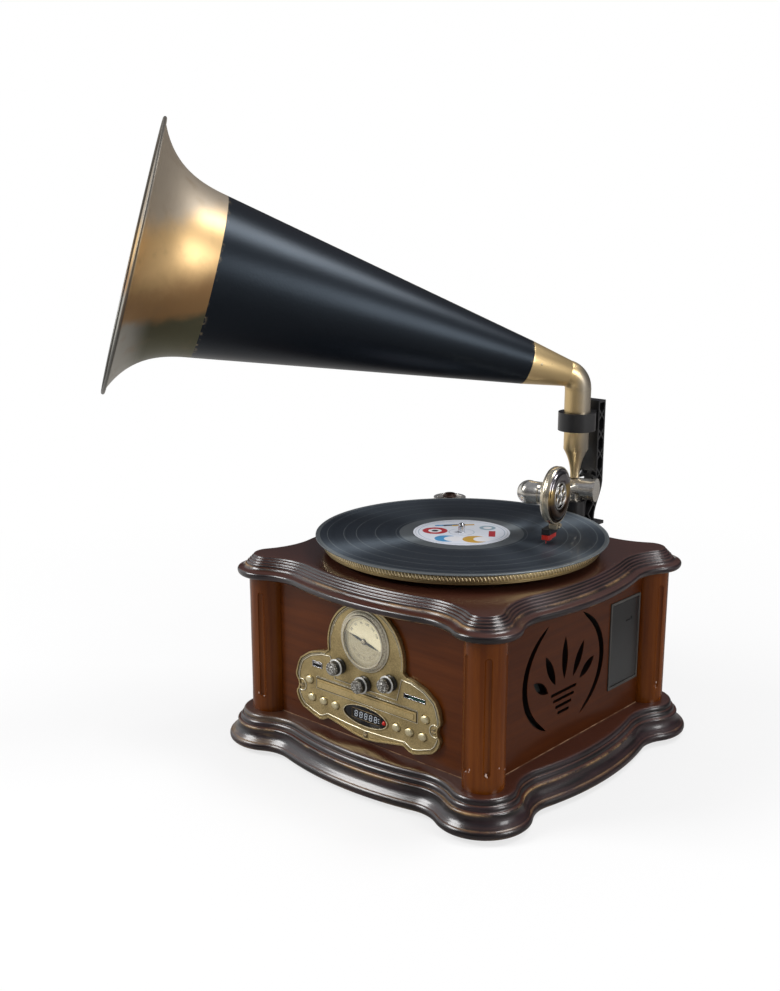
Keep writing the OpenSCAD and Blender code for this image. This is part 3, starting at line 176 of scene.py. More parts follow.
lamps = [
    ("left_softbox", (-1.3, -1.5, 1.7), (1.0, 1.0), 38),
    ("top_softbox", (0.66, 0.75, 2.2), (0.8, 0.8), 20),
    ("right_softbox", (2.0, 0.1, 1.0), (0.7, 0.9), 13),
]
lamp_aim = Vector((0, 0, 0.2))
for name, place, (wide, tall), power in lamps:
    lamp = bpy.data.lights.new(name, "AREA")
    lamp.shape = "RECTANGLE"
    lamp.size = wide
    lamp.size_y = tall
    lamp.energy = power
    holder = bpy.data.objects.new(name, lamp)
    holder.location = place
    holder.rotation_euler = (Vector(place) - lamp_aim).to_track_quat("Z", "Y").to_euler()
    bpy.context.scene.collection.objects.link(holder)

floor_half = 6
paper = bpy.data.materials.new("white_floor")
sheet = Tree(paper)
bare = sheet.node("BsdfDiffuse", sockets={"Color": (0.9, 0.9, 0.9)})
glow = sheet.node("Emission", sockets={"Color": (1, 1, 1), "Strength": 1.0})
# Near the player a part of the floor doesn't glow by itself, so that it takes the shadow
near_share = 0.72
ground = sheet.node("TexCoord", output="Object")
distance = sheet.node("VectorMath", {"operation": "LENGTH"}, {0: ground}, output="Value")
glow_share = near_share + distance.step(0.3, 1.1) * (1 - near_share)
lit_floor = sheet.node("MixShader", sockets={0: sheet.seen() * glow_share, 1: bare, 2: glow})
# In metal and lacquer the floor is a dim one, lighter under the windows
floor_x = sheet.node("SeparateXYZ", sockets={0: ground}, output="X")
window_light = floor_x.step(0.1, -0.9) + floor_x.step(0.5, 1.8) * 0.55
dim = sheet.node("Emission", sockets={
    "Color": sheet.mix(window_light, (0.15, 0.14, 0.135), (0.66, 0.64, 0.62)), "Strength": 1.0})
floor_shader = sheet.node("MixShader", sockets={0: sheet.mirrored() * 0.9, 1: lit_floor, 2: dim})
sheet.links.new(floor_shader.socket, sheet.nodes.new("ShaderNodeOutputMaterial").inputs[0])
floor_mesh = bpy.data.meshes.new("floor")
corners = [(-floor_half, -floor_half, 0), (floor_half, -floor_half, 0)]
corners += [(floor_half, floor_half, 0), (-floor_half, floor_half, 0)]
floor_mesh.from_pydata(corners, [], [(0, 1, 2, 3)])
floor_mesh.materials.append(paper)
floor = bpy.data.objects.new("floor", floor_mesh)
bpy.context.scene.collection.objects.link(floor)


# Feet
# Four low discs of black rubber, one under each corner lobe of the base, each held by
# a nail through its middle.
class Finish(Tree):
    """A material with one principled shader; numbers go on its own sockets."""

    def __init__(self, name, **sockets):
        self.material = bpy.data.materials.new(name)
        super().__init__(self.material)
        self.shader = self.nodes.new("ShaderNodeBsdfPrincipled")
        out = self.nodes.new("ShaderNodeOutputMaterial")
        self.links.new(self.shader.outputs[0], out.inputs[0])
        self.place = self.node("TexCoord", output="Object")
        self.set(**sockets)

    def set(self, **sockets):
        for key, value in sockets.items():
            self.feed(self.shader.inputs[key.replace("_", " ")], value)

    def axis(self, letter, centre=(0, 0, 0), turn=(0, 0, 0)):
        """X, Y or Z in metres from a centre, along turned axes."""
        moved = self.node("VectorMath", {"operation": "SUBTRACT"}, {0: self.place, 1: centre})
        if any(turn):
            moved = self.node(
                "VectorRotate", {"rotation_type": "EULER_XYZ", "invert": True},
                {"Vector": moved, "Rotation": turn},
            )
        return self.node("SeparateXYZ", sockets={0: moved}, output=letter)

    def noise(self, scale, stretch=(1, 1, 1), detail=4, rough=0.55):
        """Noise from 0 to 1; scale is its blobs in a metre, and stretch is for each axis."""
        vector = self.node("VectorMath", {"operation": "MULTIPLY"}, {0: self.place, 1: stretch})
        return self.node(
            "TexNoise", {}, {"Vector": vector, "Scale": scale, "Detail": detail, "Roughness": rough}
        )

    def cells(self, scale):
        """Distance from the middles of round cells, so many in a metre."""
        return self.node("TexVoronoi", {}, {"Vector": self.place, "Scale": scale}, output="Distance")

    def bump(self, height, depth):
        """Relief of that depth in metres where height goes from 0 to 1."""
        self.set(Normal=self.node("Bump", {}, {"Distance": depth, "Height": height}))


def lathe(profile, steps, place=None, closed=False):
    """Mesh of a profile of (radius, height) points turned round Z."""
    bm = bmesh.new()
    rings = []
    for r, z in profile:
        if r < 1e-7:
            rings.append([bm.verts.new((0, 0, z))])
            continue
        turned = [2 * math.pi * i / steps for i in range(steps)]
        rings.append([bm.verts.new((r * math.cos(a), r * math.sin(a), z)) for a in turned])
    pairs = list(zip(rings, rings[1:] + rings[:1] if closed else rings[1:]))
    for low, high in pairs:
        for i in range(steps):
            k = (i + 1) % steps
            if len(low) == 1 and len(high) == 1:
                break
            if len(low) == 1:
                bm.faces.new((low[0], high[k], high[i]))
            elif len(high) == 1:
                bm.faces.new((low[i], low[k], high[0]))
            else:
                bm.faces.new((low[i], low[k], high[k], high[i]))
    if place:
        bmesh.ops.transform(bm, matrix=place, verts=bm.verts)
    bmesh.ops.recalc_face_normals(bm, faces=bm.faces)
    return bm


def in_mm(*points):
    """A lathe's profile points, given in millimetres."""
    return [(r * MM, z * MM) for r, z in points]


def joined(*parts):
    """One mesh of several."""
    whole = bmesh.new()
    for part in parts:
        mesh = bpy.data.meshes.new("part")
        part.to_mesh(mesh)
        whole.from_mesh(mesh)
        bpy.data.meshes.remove(mesh)
        part.free()
    return whole


def piece(name, bm, finish, body, replaces=(), crease=35):
    """Object of a mesh, smooth but for its creases, that rides on a body."""
    for face in bm.faces:
        face.smooth = True
    for edge in bm.edges:
        edge.smooth = len(edge.link_faces) == 2 and edge.calc_face_angle(0) < math.radians(crease)
    mesh = bpy.data.meshes.new(name)
    bm.to_mesh(mesh)
    bm.free()
    mesh.materials.append(finish.material)
    thing = bpy.data.objects.new(name, mesh)
    bpy.context.scene.collection.objects.link(thing)
    return settled(thing, body, replaces)


def settled(thing, body, replaces=()):
    """A finished object on its body and the nodes that it replaces."""
    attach(thing, body)
    if replaces:
        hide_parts(*replaces)
    return thing


rubber = Finish("soft_rubber", Base_Color=(0.02, 0.02, 0.02), Roughness=0.8)
rubber.bump(rubber.noise(900), 0.0002)
feet_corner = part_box("feet")[1]
foot_radius = 12 * MM
foot_height = feet_corner.z
foot_edge = 1.2 * MM
nail_radius = 3 * MM
nail_depth = 0.6 * MM
foot_parts = []
for sx in (-1, 1):
    for sy in (-1, 1):
        middle = Vector((sx * (feet_corner.x - foot_radius), sy * (feet_corner.y - foot_radius), 0))
        foot_parts.append(lathe([
            (0, nail_depth), (nail_radius, nail_depth), (nail_radius + 1 * MM, 0),
            (foot_radius - foot_edge, 0), (foot_radius - 0.3 * foot_edge, 0.3 * foot_edge),
            (foot_radius, foot_edge), (foot_radius, foot_height), (0, foot_height),
        ], 48, Matrix.Translation(middle)))
piece("rubber_feet", joined(*foot_parts), rubber, "cabinet", ["feet"])


# Base moulding
# A solid wooden plinth with a serpentine outline and a run of beads and coves, lacquered
# nearly black and rubbed through to golden brown on its ridges. The cabinet is glued on it.
bow_reach = 172.9 * MM
bow_radius = 338 * MM
corner_offset = 139.8 * MM
corner_radius = 33.8 * MM
hollow_radius = 54 * MM


def arc(centre, radius, start, end, steps):
    turned = [start + (end - start) * i / steps for i in range(steps + 1)]
    return [centre + radius * Vector((math.cos(a), math.sin(a))) for a in turned]


def serpentine(offset):
    """The cabinet's outline, so far outside the bead of its top."""
    bow = Vector((0, bow_reach - bow_radius))
    lobe = Vector((corner_offset, corner_offset))
    span = (lobe - bow).length
    along = (lobe - bow).normalized()
    bow_arm = bow_radius + hollow_radius
    lobe_arm = corner_radius + hollow_radius
    foot = (bow_arm ** 2 - lobe_arm ** 2 + span ** 2) / (2 * span)
    rise = math.sqrt(bow_arm ** 2 - foot ** 2)
    hollow = bow + foot * along + rise * Vector((-along.y, along.x))
    bow_end = math.atan2(hollow.y - bow.y, hollow.x - bow.x)
    lobe_end = math.atan2(hollow.y - lobe.y, hollow.x - lobe.x)
    eighth = arc(bow, bow_radius + offset, math.pi / 2, bow_end, 12)
    eighth += arc(hollow, hollow_radius - offset, bow_end + math.pi, lobe_end + math.pi, 14)[1:]
    eighth += arc(lobe, corner_radius + offset, lobe_end, math.pi / 4, 14)[1:]
    quarter = eighth + [Vector((p.y, p.x)) for p in reversed(eighth[1:-1])]
    outline = []
    for turns in range(4):
        turn = Matrix.Rotation(-math.pi / 2 * turns, 2)
        outline += [turn @ p for p in quarter]
    return outline


def moulding(profile, top_rings, bottom_rings):
    """Mesh of a profile of (offset, height, wear) round the serpentine.

    Rings at these shares of the outline close it above and below. Those below overlap, flat.
    """
    bm = bmesh.new()
    worn = bm.verts.layers.float.new("wear")
    rings = []

    def ring(points, height, wear):
        verts = [bm.verts.new((p.x, p.y, height)) for p in points]
        for vert in verts:
            vert[worn] = wear
        rings.append(verts)

    first, last = profile[0], profile[-1]
    for share in bottom_rings:
        ring([p * share for p in serpentine(first[0] * MM)], first[1] * MM, 0)
    for offset, height, wear in profile:
        ring(serpentine(offset * MM), height * MM, wear)
    for share in top_rings:
        ring([p * share for p in serpentine(last[0] * MM)], last[1] * MM, 0)
    for low_ring, high_ring in zip(rings, rings[1:]):
        for i in range(len(low_ring)):
            k = (i + 1) % len(low_ring)
            bm.faces.new((low_ring[i], high_ring[i], high_ring[k], low_ring[k]))
    for ends, height in ((rings[0], first[1]), (rings[-1], last[1])):
        middle = bm.verts.new((0, 0, height * MM))
        for i in range(len(ends)):
            bm.faces.new((ends[i], ends[(i + 1) % len(ends)], middle))
    bmesh.ops.recalc_face_normals(bm, faces=bm.faces)
    return bm


lacquer = Finish("dark_lacquer", Roughness=0.3, Coat_Roughness=0.16, Specular_IOR_Level=0.5)
streak = lacquer.noise(38, (0.5, 0.5, 4), detail=3)
fine = lacquer.noise(420, (1, 1, 5), detail=2)
body_colour = lacquer.mix(streak.step(0.35, 0.7), (0.006, 0.0035, 0.0035), (0.024, 0.011, 0.013))
wear = lacquer.node("Attribute", {"attribute_name": "wear"}, output="Fac")
patchy = lacquer.noise(17, (1, 1, 2), detail=5, rough=0.65)
rubbed = wear * (patchy + 0.25 * fine).step(0.58, 0.78)
normal = lacquer.node("NewGeometry", output="Normal")
up_facing = lacquer.node("SeparateXYZ", sockets={0: normal}, output="Z")
# Faces that look up are coloured a lighter red-brown
red_top = up_facing.step(0.6, 0.98)
body_colour = lacquer.mix(red_top * 0.85, body_colour, (0.070, 0.021, 0.011))
# The plinth's front is rubbed through in long ochre streaks, most of all on the left
front_left = lacquer.axis("X").step(0.10, -0.14) * lacquer.axis("Y").step(-0.11, -0.15)
on_plinth = lacquer.axis("Z").step(0.040, 0.034)
streaks = lacquer.noise(15, (0.4, 0.4, 3.2), detail=6, rough=0.72).step(0.50, 0.66)
scrubbed = front_left * on_plinth * streaks * 0.6
body_colour = lacquer.mix(scrubbed, body_colour, (0.23, 0.15, 0.075))
lacquer.set(
    Base_Color=lacquer.mix(rubbed * 0.85, body_colour, (0.42, 0.25, 0.10)),
    Coat_Weight=0.75 - (rubbed + scrubbed) * 0.5,
    Roughness=0.24 + streak * 0.14 + (rubbed + scrubbed) * 0.18,
)
lacquer.bump(fine * 0.5 + streak * 0.5, 0.00025)

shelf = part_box("base_moulding")[1].z
base_profile = [
    (9.5, 5.0, 0.5), (11.6, 5.3, 0.9), (12.7, 6.4, 0.4), (13.1, 8.2, 0), (13.0, 10.0, 0),
    (12.3, 11.6, 0), (11.2, 12.8, 0.2), (10.3, 13.2, 0.5), (9.9, 13.5, 0.2), (9.4, 14.2, 0),
    (8.2, 15.2, 0), (6.6, 16.8, 0), (5.3, 18.8, 0), (4.5, 21.0, 0), (4.1, 23.2, 0),
    (4.0, 24.6, 0.3), (4.2, 25.4, 1.0), (3.9, 26.1, 1.0), (3.2, 26.6, 0.5), (2.3, 26.9, 0),
    (1.3, 27.3, 0), (0.9, 28.0, 0), (0.9, 28.8, 0), (0.6, 29.9, 0), (-0.2, 31.2, 0),
    (-1.2, 31.9, 0.2), (-1.9, 32.1, 0), (-2.2, 32.6, 0), (-2.1, 33.6, 0), (-2.3, 35.2, 0),
    (-3.0, 36.6, 0), (-4.2, 37.6, 0), (-5.6, 38.0, 0), (-9.0, 38.0, 0),
]
piece("plinth", moulding(base_profile, (0.9, 0.7), (0.9, 0.7)), lacquer, "cabinet",
      ["base_moulding"])


# Bottom board
# A sheet of raw fibreboard, sawn to size. It lies on the plinth's ledge and carries the
# electronics.
fibre = Finish("fibreboard", Roughness=0.85)
fibre.set(Base_Color=fibre.mix(fibre.noise(700), (0.30, 0.20, 0.11), (0.42, 0.30, 0.18)))
fibre.bump(fibre.noise(1500), 0.0002)


def shape_of(node):
    """The node's own shape, its flat faces made whole."""
    bm = bmesh.new()
    bm.from_mesh(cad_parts[node].data)
    bmesh.ops.remove_doubles(bm, verts=bm.verts, dist=2e-6)
    bmesh.ops.dissolve_limit(
        bm, angle_limit=math.radians(0.5), verts=bm.verts, edges=bm.edges
    )
    return bm


def dressed(node, name, finish, body, bevel=0.3, crease=32, shape=None):
    """A piece of the node's own shape, with smooth round faces and rounded edges."""
    thing = piece(name, shape or shape_of(node), finish, body, [node], crease)
    if bevel:
        rounding = thing.modifiers.new("rounding", "BEVEL")
        rounding.width = bevel * MM
        rounding.segments = 2
        rounding.limit_method = "ANGLE"
        rounding.angle_limit = math.radians(crease)
        rounding.harden_normals = True


dressed("bottom_board", "floor_board", fibre, "cabinet")


# Corner columns
# Four turned mahogany columns with three round-ended flutes each, stained a warm
# red-brown and lacquered. Grooves in them hold the panels.
def mahogany_finish(name, grain_axis, dark, light, gloss):
    """Stained mahogany with long grain along one axis and a satin lacquer."""
    made = Finish(name, Coat_Roughness=0.14, Specular_IOR_Level=0.22)
    stretch = [9.0, 9.0, 9.0]
    stretch["XYZ".index(grain_axis)] = 0.35
    grain = made.noise(16, stretch, detail=5, rough=0.6)
    pores = made.noise(130, stretch, detail=3, rough=0.6)
    cloud = made.noise(7, detail=2)
    tone = made.mix((grain * 0.75 + cloud * 0.35).step(0.3, 0.8), dark, light)
    pore = pores.step(0.56, 0.72)
    made.set(
        Base_Color=made.mix(pore * 0.25, tone, tuple(c * 0.45 for c in dark)),
        Roughness=gloss + grain * 0.12,
        Coat_Weight=0.08 + cloud * 0.2,
    )
    made.bump(pores * 0.6 + grain * 0.4, 0.00006)
    return made


column_wood = mahogany_finish(
    "column_mahogany", "Z", (0.076, 0.016, 0.0013), (0.150, 0.039, 0.003), 0.14)
dressed("corner_columns", "columns", column_wood, "cabinet", bevel=0.3, crease=25)

# Chips and scuffs
# Pale nicks where the lacquer has been knocked off at the foot of the flutes, each a
# shallow flake of bare wood.
chip_finish = Finish("bare_wood_chip", Roughness=0.7)
chip_finish.set(
    Base_Color=chip_finish.mix(chip_finish.noise(2500), (0.40, 0.24, 0.16), (0.66, 0.50, 0.44)))
chip_finish.bump(chip_finish.noise(3000), 0.0003)
column_offset = 141 * MM
column_radius = 20 * MM
chip_reach = column_radius + 0.05 * MM
# Each chip's column, its turn from the column's outer side, its height and its half width in mm
chip_spots = [
    (1, -1, -2, 57.0, 1.5), (1, -1, 1, 55.4, 0.9), (1, -1, -48, 60.0, 1.2), (1, -1, -50, 57.5, 0.8),
    (-1, -1, 50, 58.0, 1.3), (1, 1, -64, 60.5, 1.0), (1, -1, 36, 62.0, 0.8),
]
chips = []
for sx, sy, degrees, rise, half_width in chip_spots:
    turn = math.atan2(sy, sx) + math.radians(degrees)
    spot = Vector((sx * column_offset, sy * column_offset, rise * MM))
    spot += chip_reach * Vector((math.cos(turn), math.sin(turn), 0))
    outward = Matrix.Rotation(turn, 4, "Z") @ Matrix.Rotation(math.pi / 2, 4, "Y")
    taller = Matrix.Diagonal((1.3, 0.7, 1, 1))
    chips.append(lathe(in_mm(
        (0, 0.12), (0.6 * half_width, 0.08), (half_width, -0.3),
    ), 7, Matrix.Translation(spot) @ outward @ taller))
piece("column_chips", joined(*chips), chip_finish, "cabinet")


# Panels
# The front and the pierced sides are veneered board, darker than the columns; the back
# is plain dark board with air slots. All slide into grooves of the columns.
panel_wood = mahogany_finish(
    "panel_mahogany", "X", (0.060, 0.012, 0.0006), (0.100, 0.0225, 0.0012), 0.24)
side_wood = mahogany_finish(
    "side_mahogany", "Y", (0.046, 0.0095, 0.001), (0.074, 0.0165, 0.0016), 0.26)
dressed("front_panel", "front_board", panel_wood, "cabinet")
# The sawn walls of the fretwork are black behind the veneer
veneer_back = 143.7 * MM
inside_cut = abs(side_wood.axis("X")).step(veneer_back, veneer_back - 0.5 * MM)
side_tone = Value(side_wood, side_wood.shader.inputs["Base Color"].links[0].from_socket)
side_wood.set(Base_Color=side_wood.mix(inside_cut * 0.93, side_tone, (0.004, 0.004, 0.004)))
dressed("right_panel", "right_board", side_wood, "cabinet", bevel=0.5)
dressed("left_panel", "left_board", side_wood, "cabinet", bevel=0.5)
back_wood = mahogany_finish("back_board_stain", "X", (0.020, 0.010, 0.007), (0.045, 0.022, 0.014), 0.5)
dressed("back_panel", "back_board", back_wood, "cabinet", bevel=0.5)

# Seams
# A thin pale line, a painted highlight of the panels' bottom edges, lies where the front and
# the side panels stand on the plinth.
seam_highlight = Finish("painted_seam_highlight", Roughness=0.6)
# The line's pale brown is a painted highlight
seam_highlight.set(Base_Color=seam_highlight.mix(
    seam_highlight.noise(60, detail=5).step(0.4, 0.6), (0.15, 0.065, 0.030), (0.36, 0.21, 0.12)))
panel_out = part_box("right_panel")[1].x
seam_half = 121 * MM
seam_size = 0.8 * MM
seams = []
for turn in (-math.pi / 2, 0, math.pi):
    seam = bmesh.new()
    bmesh.ops.create_cube(seam, size=1, matrix=Matrix.Rotation(turn, 4, "Z")
                          @ Matrix.Translation((panel_out, 0, shelf + seam_size / 2))
                          @ Matrix.Diagonal((seam_size, 2 * seam_half, seam_size, 1)))
    bmesh.ops.bevel(seam, geom=seam.edges, offset=0.15 * MM, segments=2, affect="EDGES")
    seams.append(seam)
piece("panel_seams", joined(*seams), seam_highlight, "cabinet")


# Top board
# The lid is one moulded board with the same serpentine edge: three fine steps, a cove, a
# bead and a worn lower edge, polished to a dark mirror on top. The turntable sits on it.
top_profile = [
    (-8.0, 185.0, 0.3), (-3.4, 185.0, 0.9), (-2.2, 185.5, 1.0), (-1.2, 186.4, 0.5), (-0.5, 187.5, 0),
    (-0.1, 188.8, 0), (0.0, 190.0, 0), (-0.3, 191.1, 0), (-1.0, 192.0, 0), (-1.9, 192.5, 0.2),
    (-2.6, 192.6, 0), (-3.0, 192.8, 0), (-4.6, 193.1, 0), (-6.4, 193.9, 0), (-7.6, 195.0, 0.2),
    (-8.3, 196.0, 0.8), (-8.9, 196.5, 0.7), (-9.6, 196.7, 0.2), (-10.0, 197.0, 0), (-10.1, 197.8, 0),
    (-10.6, 198.7, 0.1), (-11.32, 199.18, 0), (-11.9, 199.4, 0), (-12.19, 199.7, 0),
    (-12.33, 200.26, 0), (-12.89, 201.01, 0.1), (-13.61, 201.49, 0), (-14.19, 201.71, 0),
    (-14.49, 202.01, 0), (-14.63, 202.57, 0), (-15.19, 203.31, 0.1), (-15.82, 203.77, 0),
    (-16.32, 203.97, 0), (-16.54, 204.26, 0), (-16.76, 204.84, 0),
    (-17.3, 205.5, 0), (-18.2, 205.9, 0), (-19.4, 206.0, 0), (-24.0, 206.0, 0),
]
piece("lid", moulding(top_profile, (0.9, 0.7, 0.4), (0.9, 0.7)), lacquer, "cabinet",
      ["top_moulding"])

# Adaptor peg
# A turned dowel, stained dark, with a thin pin at its top. It is glued into the lid, behind
# the platter on the left.
stain = mahogany_finish("peg_stain", "Z", (0.030, 0.014, 0.010), (0.060, 0.028, 0.018), 0.4)
lid_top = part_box("top_moulding")[1].z
disc_low, disc_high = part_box("single_adaptor")
peg_middle = (disc_low + disc_high) / 2
peg_height = disc_low.z - lid_top
pin_height = disc_high.z - lid_top
peg_radius = 6 * MM
pin_radius = 3.56 * MM
peg = lathe([
    (0, 0), (peg_radius + 2 * MM, 0), (peg_radius + 2 * MM, 1 * MM), (peg_radius + 0.4 * MM, 2 * MM),
    (peg_radius, 4 * MM), (peg_radius, peg_height - 0.6 * MM), (peg_radius - 0.6 * MM, peg_height),
    (pin_radius, peg_height), (pin_radius, pin_height - 0.8 * MM), (pin_radius - 0.8 * MM, pin_height),
    (0, pin_height),
], 40, Matrix.Translation((peg_middle.x, peg_middle.y, lid_top)))
piece("adaptor_peg", peg, stain, "cabinet")


# Adaptor for singles
# A stamped, nickel-plated disc with two crescent windows. It lies loose on the peg until
# it is wanted.
def metal_finish(name, bright, dull, rough, tarnish, brushed=(1, 1, 1), metal=1.0):
    """Plated metal with soft clouds of tarnish and fine brush or polishing marks."""
    made = Finish(name, Metallic=metal)
    cloud = made.noise(22, detail=5, rough=0.6)
    marks = made.noise(260, brushed, detail=3, rough=0.6)
    aged = cloud.step(0.42, 0.75) * tarnish
    made.set(
        Base_Color=made.mix(aged, bright, dull),
        Roughness=rough + marks * 0.10 + aged * 0.15,
    )
    made.bump(marks, 0.00004)
    return made


nickel = metal_finish("old_nickel", (0.80, 0.78, 0.74), (0.40, 0.36, 0.30), 0.20, 0.6, metal=0.85)
dressed("single_adaptor", "adaptor_disc", nickel, "cabinet", bevel=0.4)


# Bearing, motor, pulley and belt
# A brass bush through the lid carries the spindle. A small motor under the lid turns the
# platter's inner ring through a flat rubber belt.
brass = metal_finish("turned_brass", (0.78, 0.55, 0.24), (0.45, 0.28, 0.10), 0.22, 0.5, (1, 1, 30))
zinc = metal_finish("zinc_plate", (0.60, 0.61, 0.64), (0.38, 0.38, 0.40), 0.32, 0.4, (6, 1, 1))
dressed("spindle_bearing", "bearing_bush", brass, "cabinet")
dressed("turntable_motor", "motor_can", zinc, "cabinet", bevel=0.5)
dressed("motor_pulley", "pulley", brass, "motor_rotor", bevel=0.1)
belt_rubber = Finish("belt_rubber", Base_Color=(0.018, 0.018, 0.018), Roughness=0.65)
belt_rubber.bump(belt_rubber.noise(1800), 0.00008)
dressed("drive_belt", "flat_belt", belt_rubber, "cabinet", bevel=0.1)


# Platter
# A pressed aluminium dish with a brass-coloured rim. Slanting ribs are rolled into the
# upper part of the rim all the way round.
class Pattern(Tree):
    """A geometry nodes tree with named inputs, which makes a piece of a path or of copies."""

    def __init__(self, name, **inputs):
        self.group = bpy.data.node_groups.new(name, "GeometryNodeTree")
        self.nodes = self.group.nodes
        self.links = self.group.links
        sockets = self.group.interface
        sockets.new_socket("Geometry", in_out="INPUT", socket_type="NodeSocketGeometry")
        sockets.new_socket("Geometry", in_out="OUTPUT", socket_type="NodeSocketGeometry")
        self.keys = {}
        for key, kind in inputs.items():
            made = sockets.new_socket(key, in_out="INPUT", socket_type="NodeSocket" + kind)
            self.keys[key] = made.identifier
        self.source = self.nodes.new("NodeGroupInput")
        self.result = self.nodes.new("NodeGroupOutput")

    def given(self, key):
        return Value(self, self.source.outputs[key])

    def give(self, geometry):
        """The pattern's result, made real and given its finish."""
        real = self.node("GeometryNodeRealizeInstances", sockets={0: geometry})
        coated = self.node("GeometryNodeSetMaterial", sockets={
            "Geometry": real, "Material": self.given("Finish")})
        self.links.new(coated.socket, self.result.inputs[0])

    def copies(self, points, rotation=(0, 0, 0)):
        """The given shape at each point."""
        shape = self.node("GeometryNodeObjectInfo", sockets={"Object": self.given("Shape")},
                          output="Geometry")
        self.give(self.node("GeometryNodeInstanceOnPoints", sockets={
            "Points": points, "Instance": shape, "Rotation": rotation}))

    def run(self, name, base, finish, body, slot, place=None, **values):
        """A piece that the pattern makes on a base mesh."""
        thing = bpy.data.objects.new(name, base)
        bpy.context.scene.collection.objects.link(thing)
        laying = thing.modifiers.new("pattern", "NODES")
        laying.node_group = self.group
        for key, value in dict(values, Finish=finish.material).items():
            laying[self.keys[key]] = value
        bpy.context.view_layer.update()
        graph = bpy.context.evaluated_depsgraph_get()
        mesh = bpy.data.meshes.new_from_object(thing.evaluated_get(graph))
        thing.modifiers.remove(laying)
        thing.data = mesh
        for polygon in mesh.polygons:
            polygon.use_smooth = True
        if place:
            mesh.transform(place)
        settled(thing, body)

    def lay(self, name, shape, finish, body, slot, base=None, place=None, **values):
        """A piece with the pattern's copies of a shape, which is then thrown away."""
        seed = bpy.data.meshes.new(name)
        shape.to_mesh(seed)
        shape.free()
        copied = bpy.data.objects.new(name + "_one", seed)
        bpy.context.scene.collection.objects.link(copied)
        self.run(name, base or bpy.data.meshes.new(name), finish, body, slot, place,
                 Shape=copied, **values)
        bpy.data.objects.remove(copied)


# A ring of copies: each turns with its place on the circle
around = Pattern("ring_of_copies", Shape="Object", Finish="Material", Count="Int",
                 Radius="Float", Height="Float")
circle = around.node("GeometryNodeMeshCircle", sockets={
    "Vertices": around.given("Count"), "Radius": around.given("Radius")})
raised = around.node("GeometryNodeTransform", sockets={
    "Geometry": circle,
    "Translation": around.node("CombineXYZ", sockets={2: around.given("Height")})})
order = around.node("GeometryNodeInputIndex")
turned = order * (2 * math.pi) / around.given("Count")
around.copies(raised, around.node("CombineXYZ", sockets={2: turned}))


def rounded_bar(length, width, height, turn):
    """A rib of few faces with round ends, along Z before its turn; half of it is sunk."""
    bm = bmesh.new()
    bmesh.ops.create_uvsphere(bm, u_segments=8, v_segments=6, radius=1)
    shape = Matrix.Diagonal((height, width / 2, length / 2, 1))
    bmesh.ops.transform(bm, matrix=turn @ shape, verts=bm.verts)
    return bm


rim_gold = metal_finish("rim_gold", (0.95, 0.80, 0.50), (0.70, 0.55, 0.30), 0.30, 0.5, (1, 1, 12))
# The dish between the ribs is darker brass: dirt, and painted shade between the ribs
rim_dirt_and_shade = metal_finish("rim_dirt_and_shade", (0.44, 0.34, 0.17), (0.26, 0.19, 0.09), 0.36, 0.6)
low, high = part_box("platter")
rim = high.x
rim_top = high.z
rim_bottom = rim_top - 10 * MM
inner_rim = rim - 3.5 * MM
web = 3 * MM
belt_ring_outer = 74.7 * MM
belt_ring_inner = 71.7 * MM
hub = 10 * MM
bore = 4.1 * MM
rib_depth = 0.5 * MM
rib_slant = math.radians(28)
platter = lathe([
    (bore, rim_top), (rim - 1.6 * MM, rim_top), (rim - 0.9 * MM, rim_top - 0.4 * MM),
    (rim - rib_depth, rim_top - 1.1 * MM), (rim - rib_depth, rim_top - 6.6 * MM),
    (rim - 0.1 * MM, rim_top - 6.9 * MM), (rim, rim_top - 7.4 * MM), (rim - 0.1 * MM, rim_top - 8 * MM),
    (rim - rib_depth, rim_top - 8.4 * MM), (rim - rib_depth, rim_bottom + 0.7 * MM),
    (rim - 1.1 * MM, rim_bottom), (inner_rim + 0.5 * MM, rim_bottom), (inner_rim, rim_bottom + 0.5 * MM),
    (inner_rim, rim_top - web), (belt_ring_outer, rim_top - web), (belt_ring_outer, low.z),
    (belt_ring_inner, low.z), (belt_ring_inner, rim_top - web), (hub, rim_top - web),
    (hub, low.z), (bore, low.z),
], 192, closed=True)
piece("platter_dish", platter, rim_dirt_and_shade, "turntable", ["platter"])
rib = rounded_bar(6.2 * MM, 2.3 * MM, 0.6 * MM, Matrix.Rotation(rib_slant, 4, "X"))
around.lay("platter_ribs", rib, rim_gold, "turntable", "antique_brass", Count=252,
           Radius=rim - rib_depth - 0.1 * MM, Height=rim_top - 3.9 * MM)

# Slip mat
# A moulded mat of black rubber with fine ribs, a little smaller than the platter. It lies
# loose on it, and the record on the mat.
mat_rubber = Finish("mat_rubber", Base_Color=(0.02, 0.02, 0.02), Roughness=0.7)
mat_radius = (mat_rubber.axis("X") ** 2 + mat_rubber.axis("Y") ** 2).math("SQRT")
# Radians in a metre: one rib in about 5 mm
mat_rate = 1200
mat_rubber.bump((mat_radius * mat_rate).math("SINE"), 0.0004)
low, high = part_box("slip_mat")
mat_bore = 3.65 * MM
mat_edge = 0.4 * MM
piece("rubber_mat", lathe([
    (mat_bore, low.z), (high.x - mat_edge, low.z), (high.x, low.z + mat_edge),
    (high.x, high.z - mat_edge), (high.x - mat_edge, high.z), (mat_bore, high.z),
], 128, closed=True), mat_rubber, "turntable", ["slip_mat"])


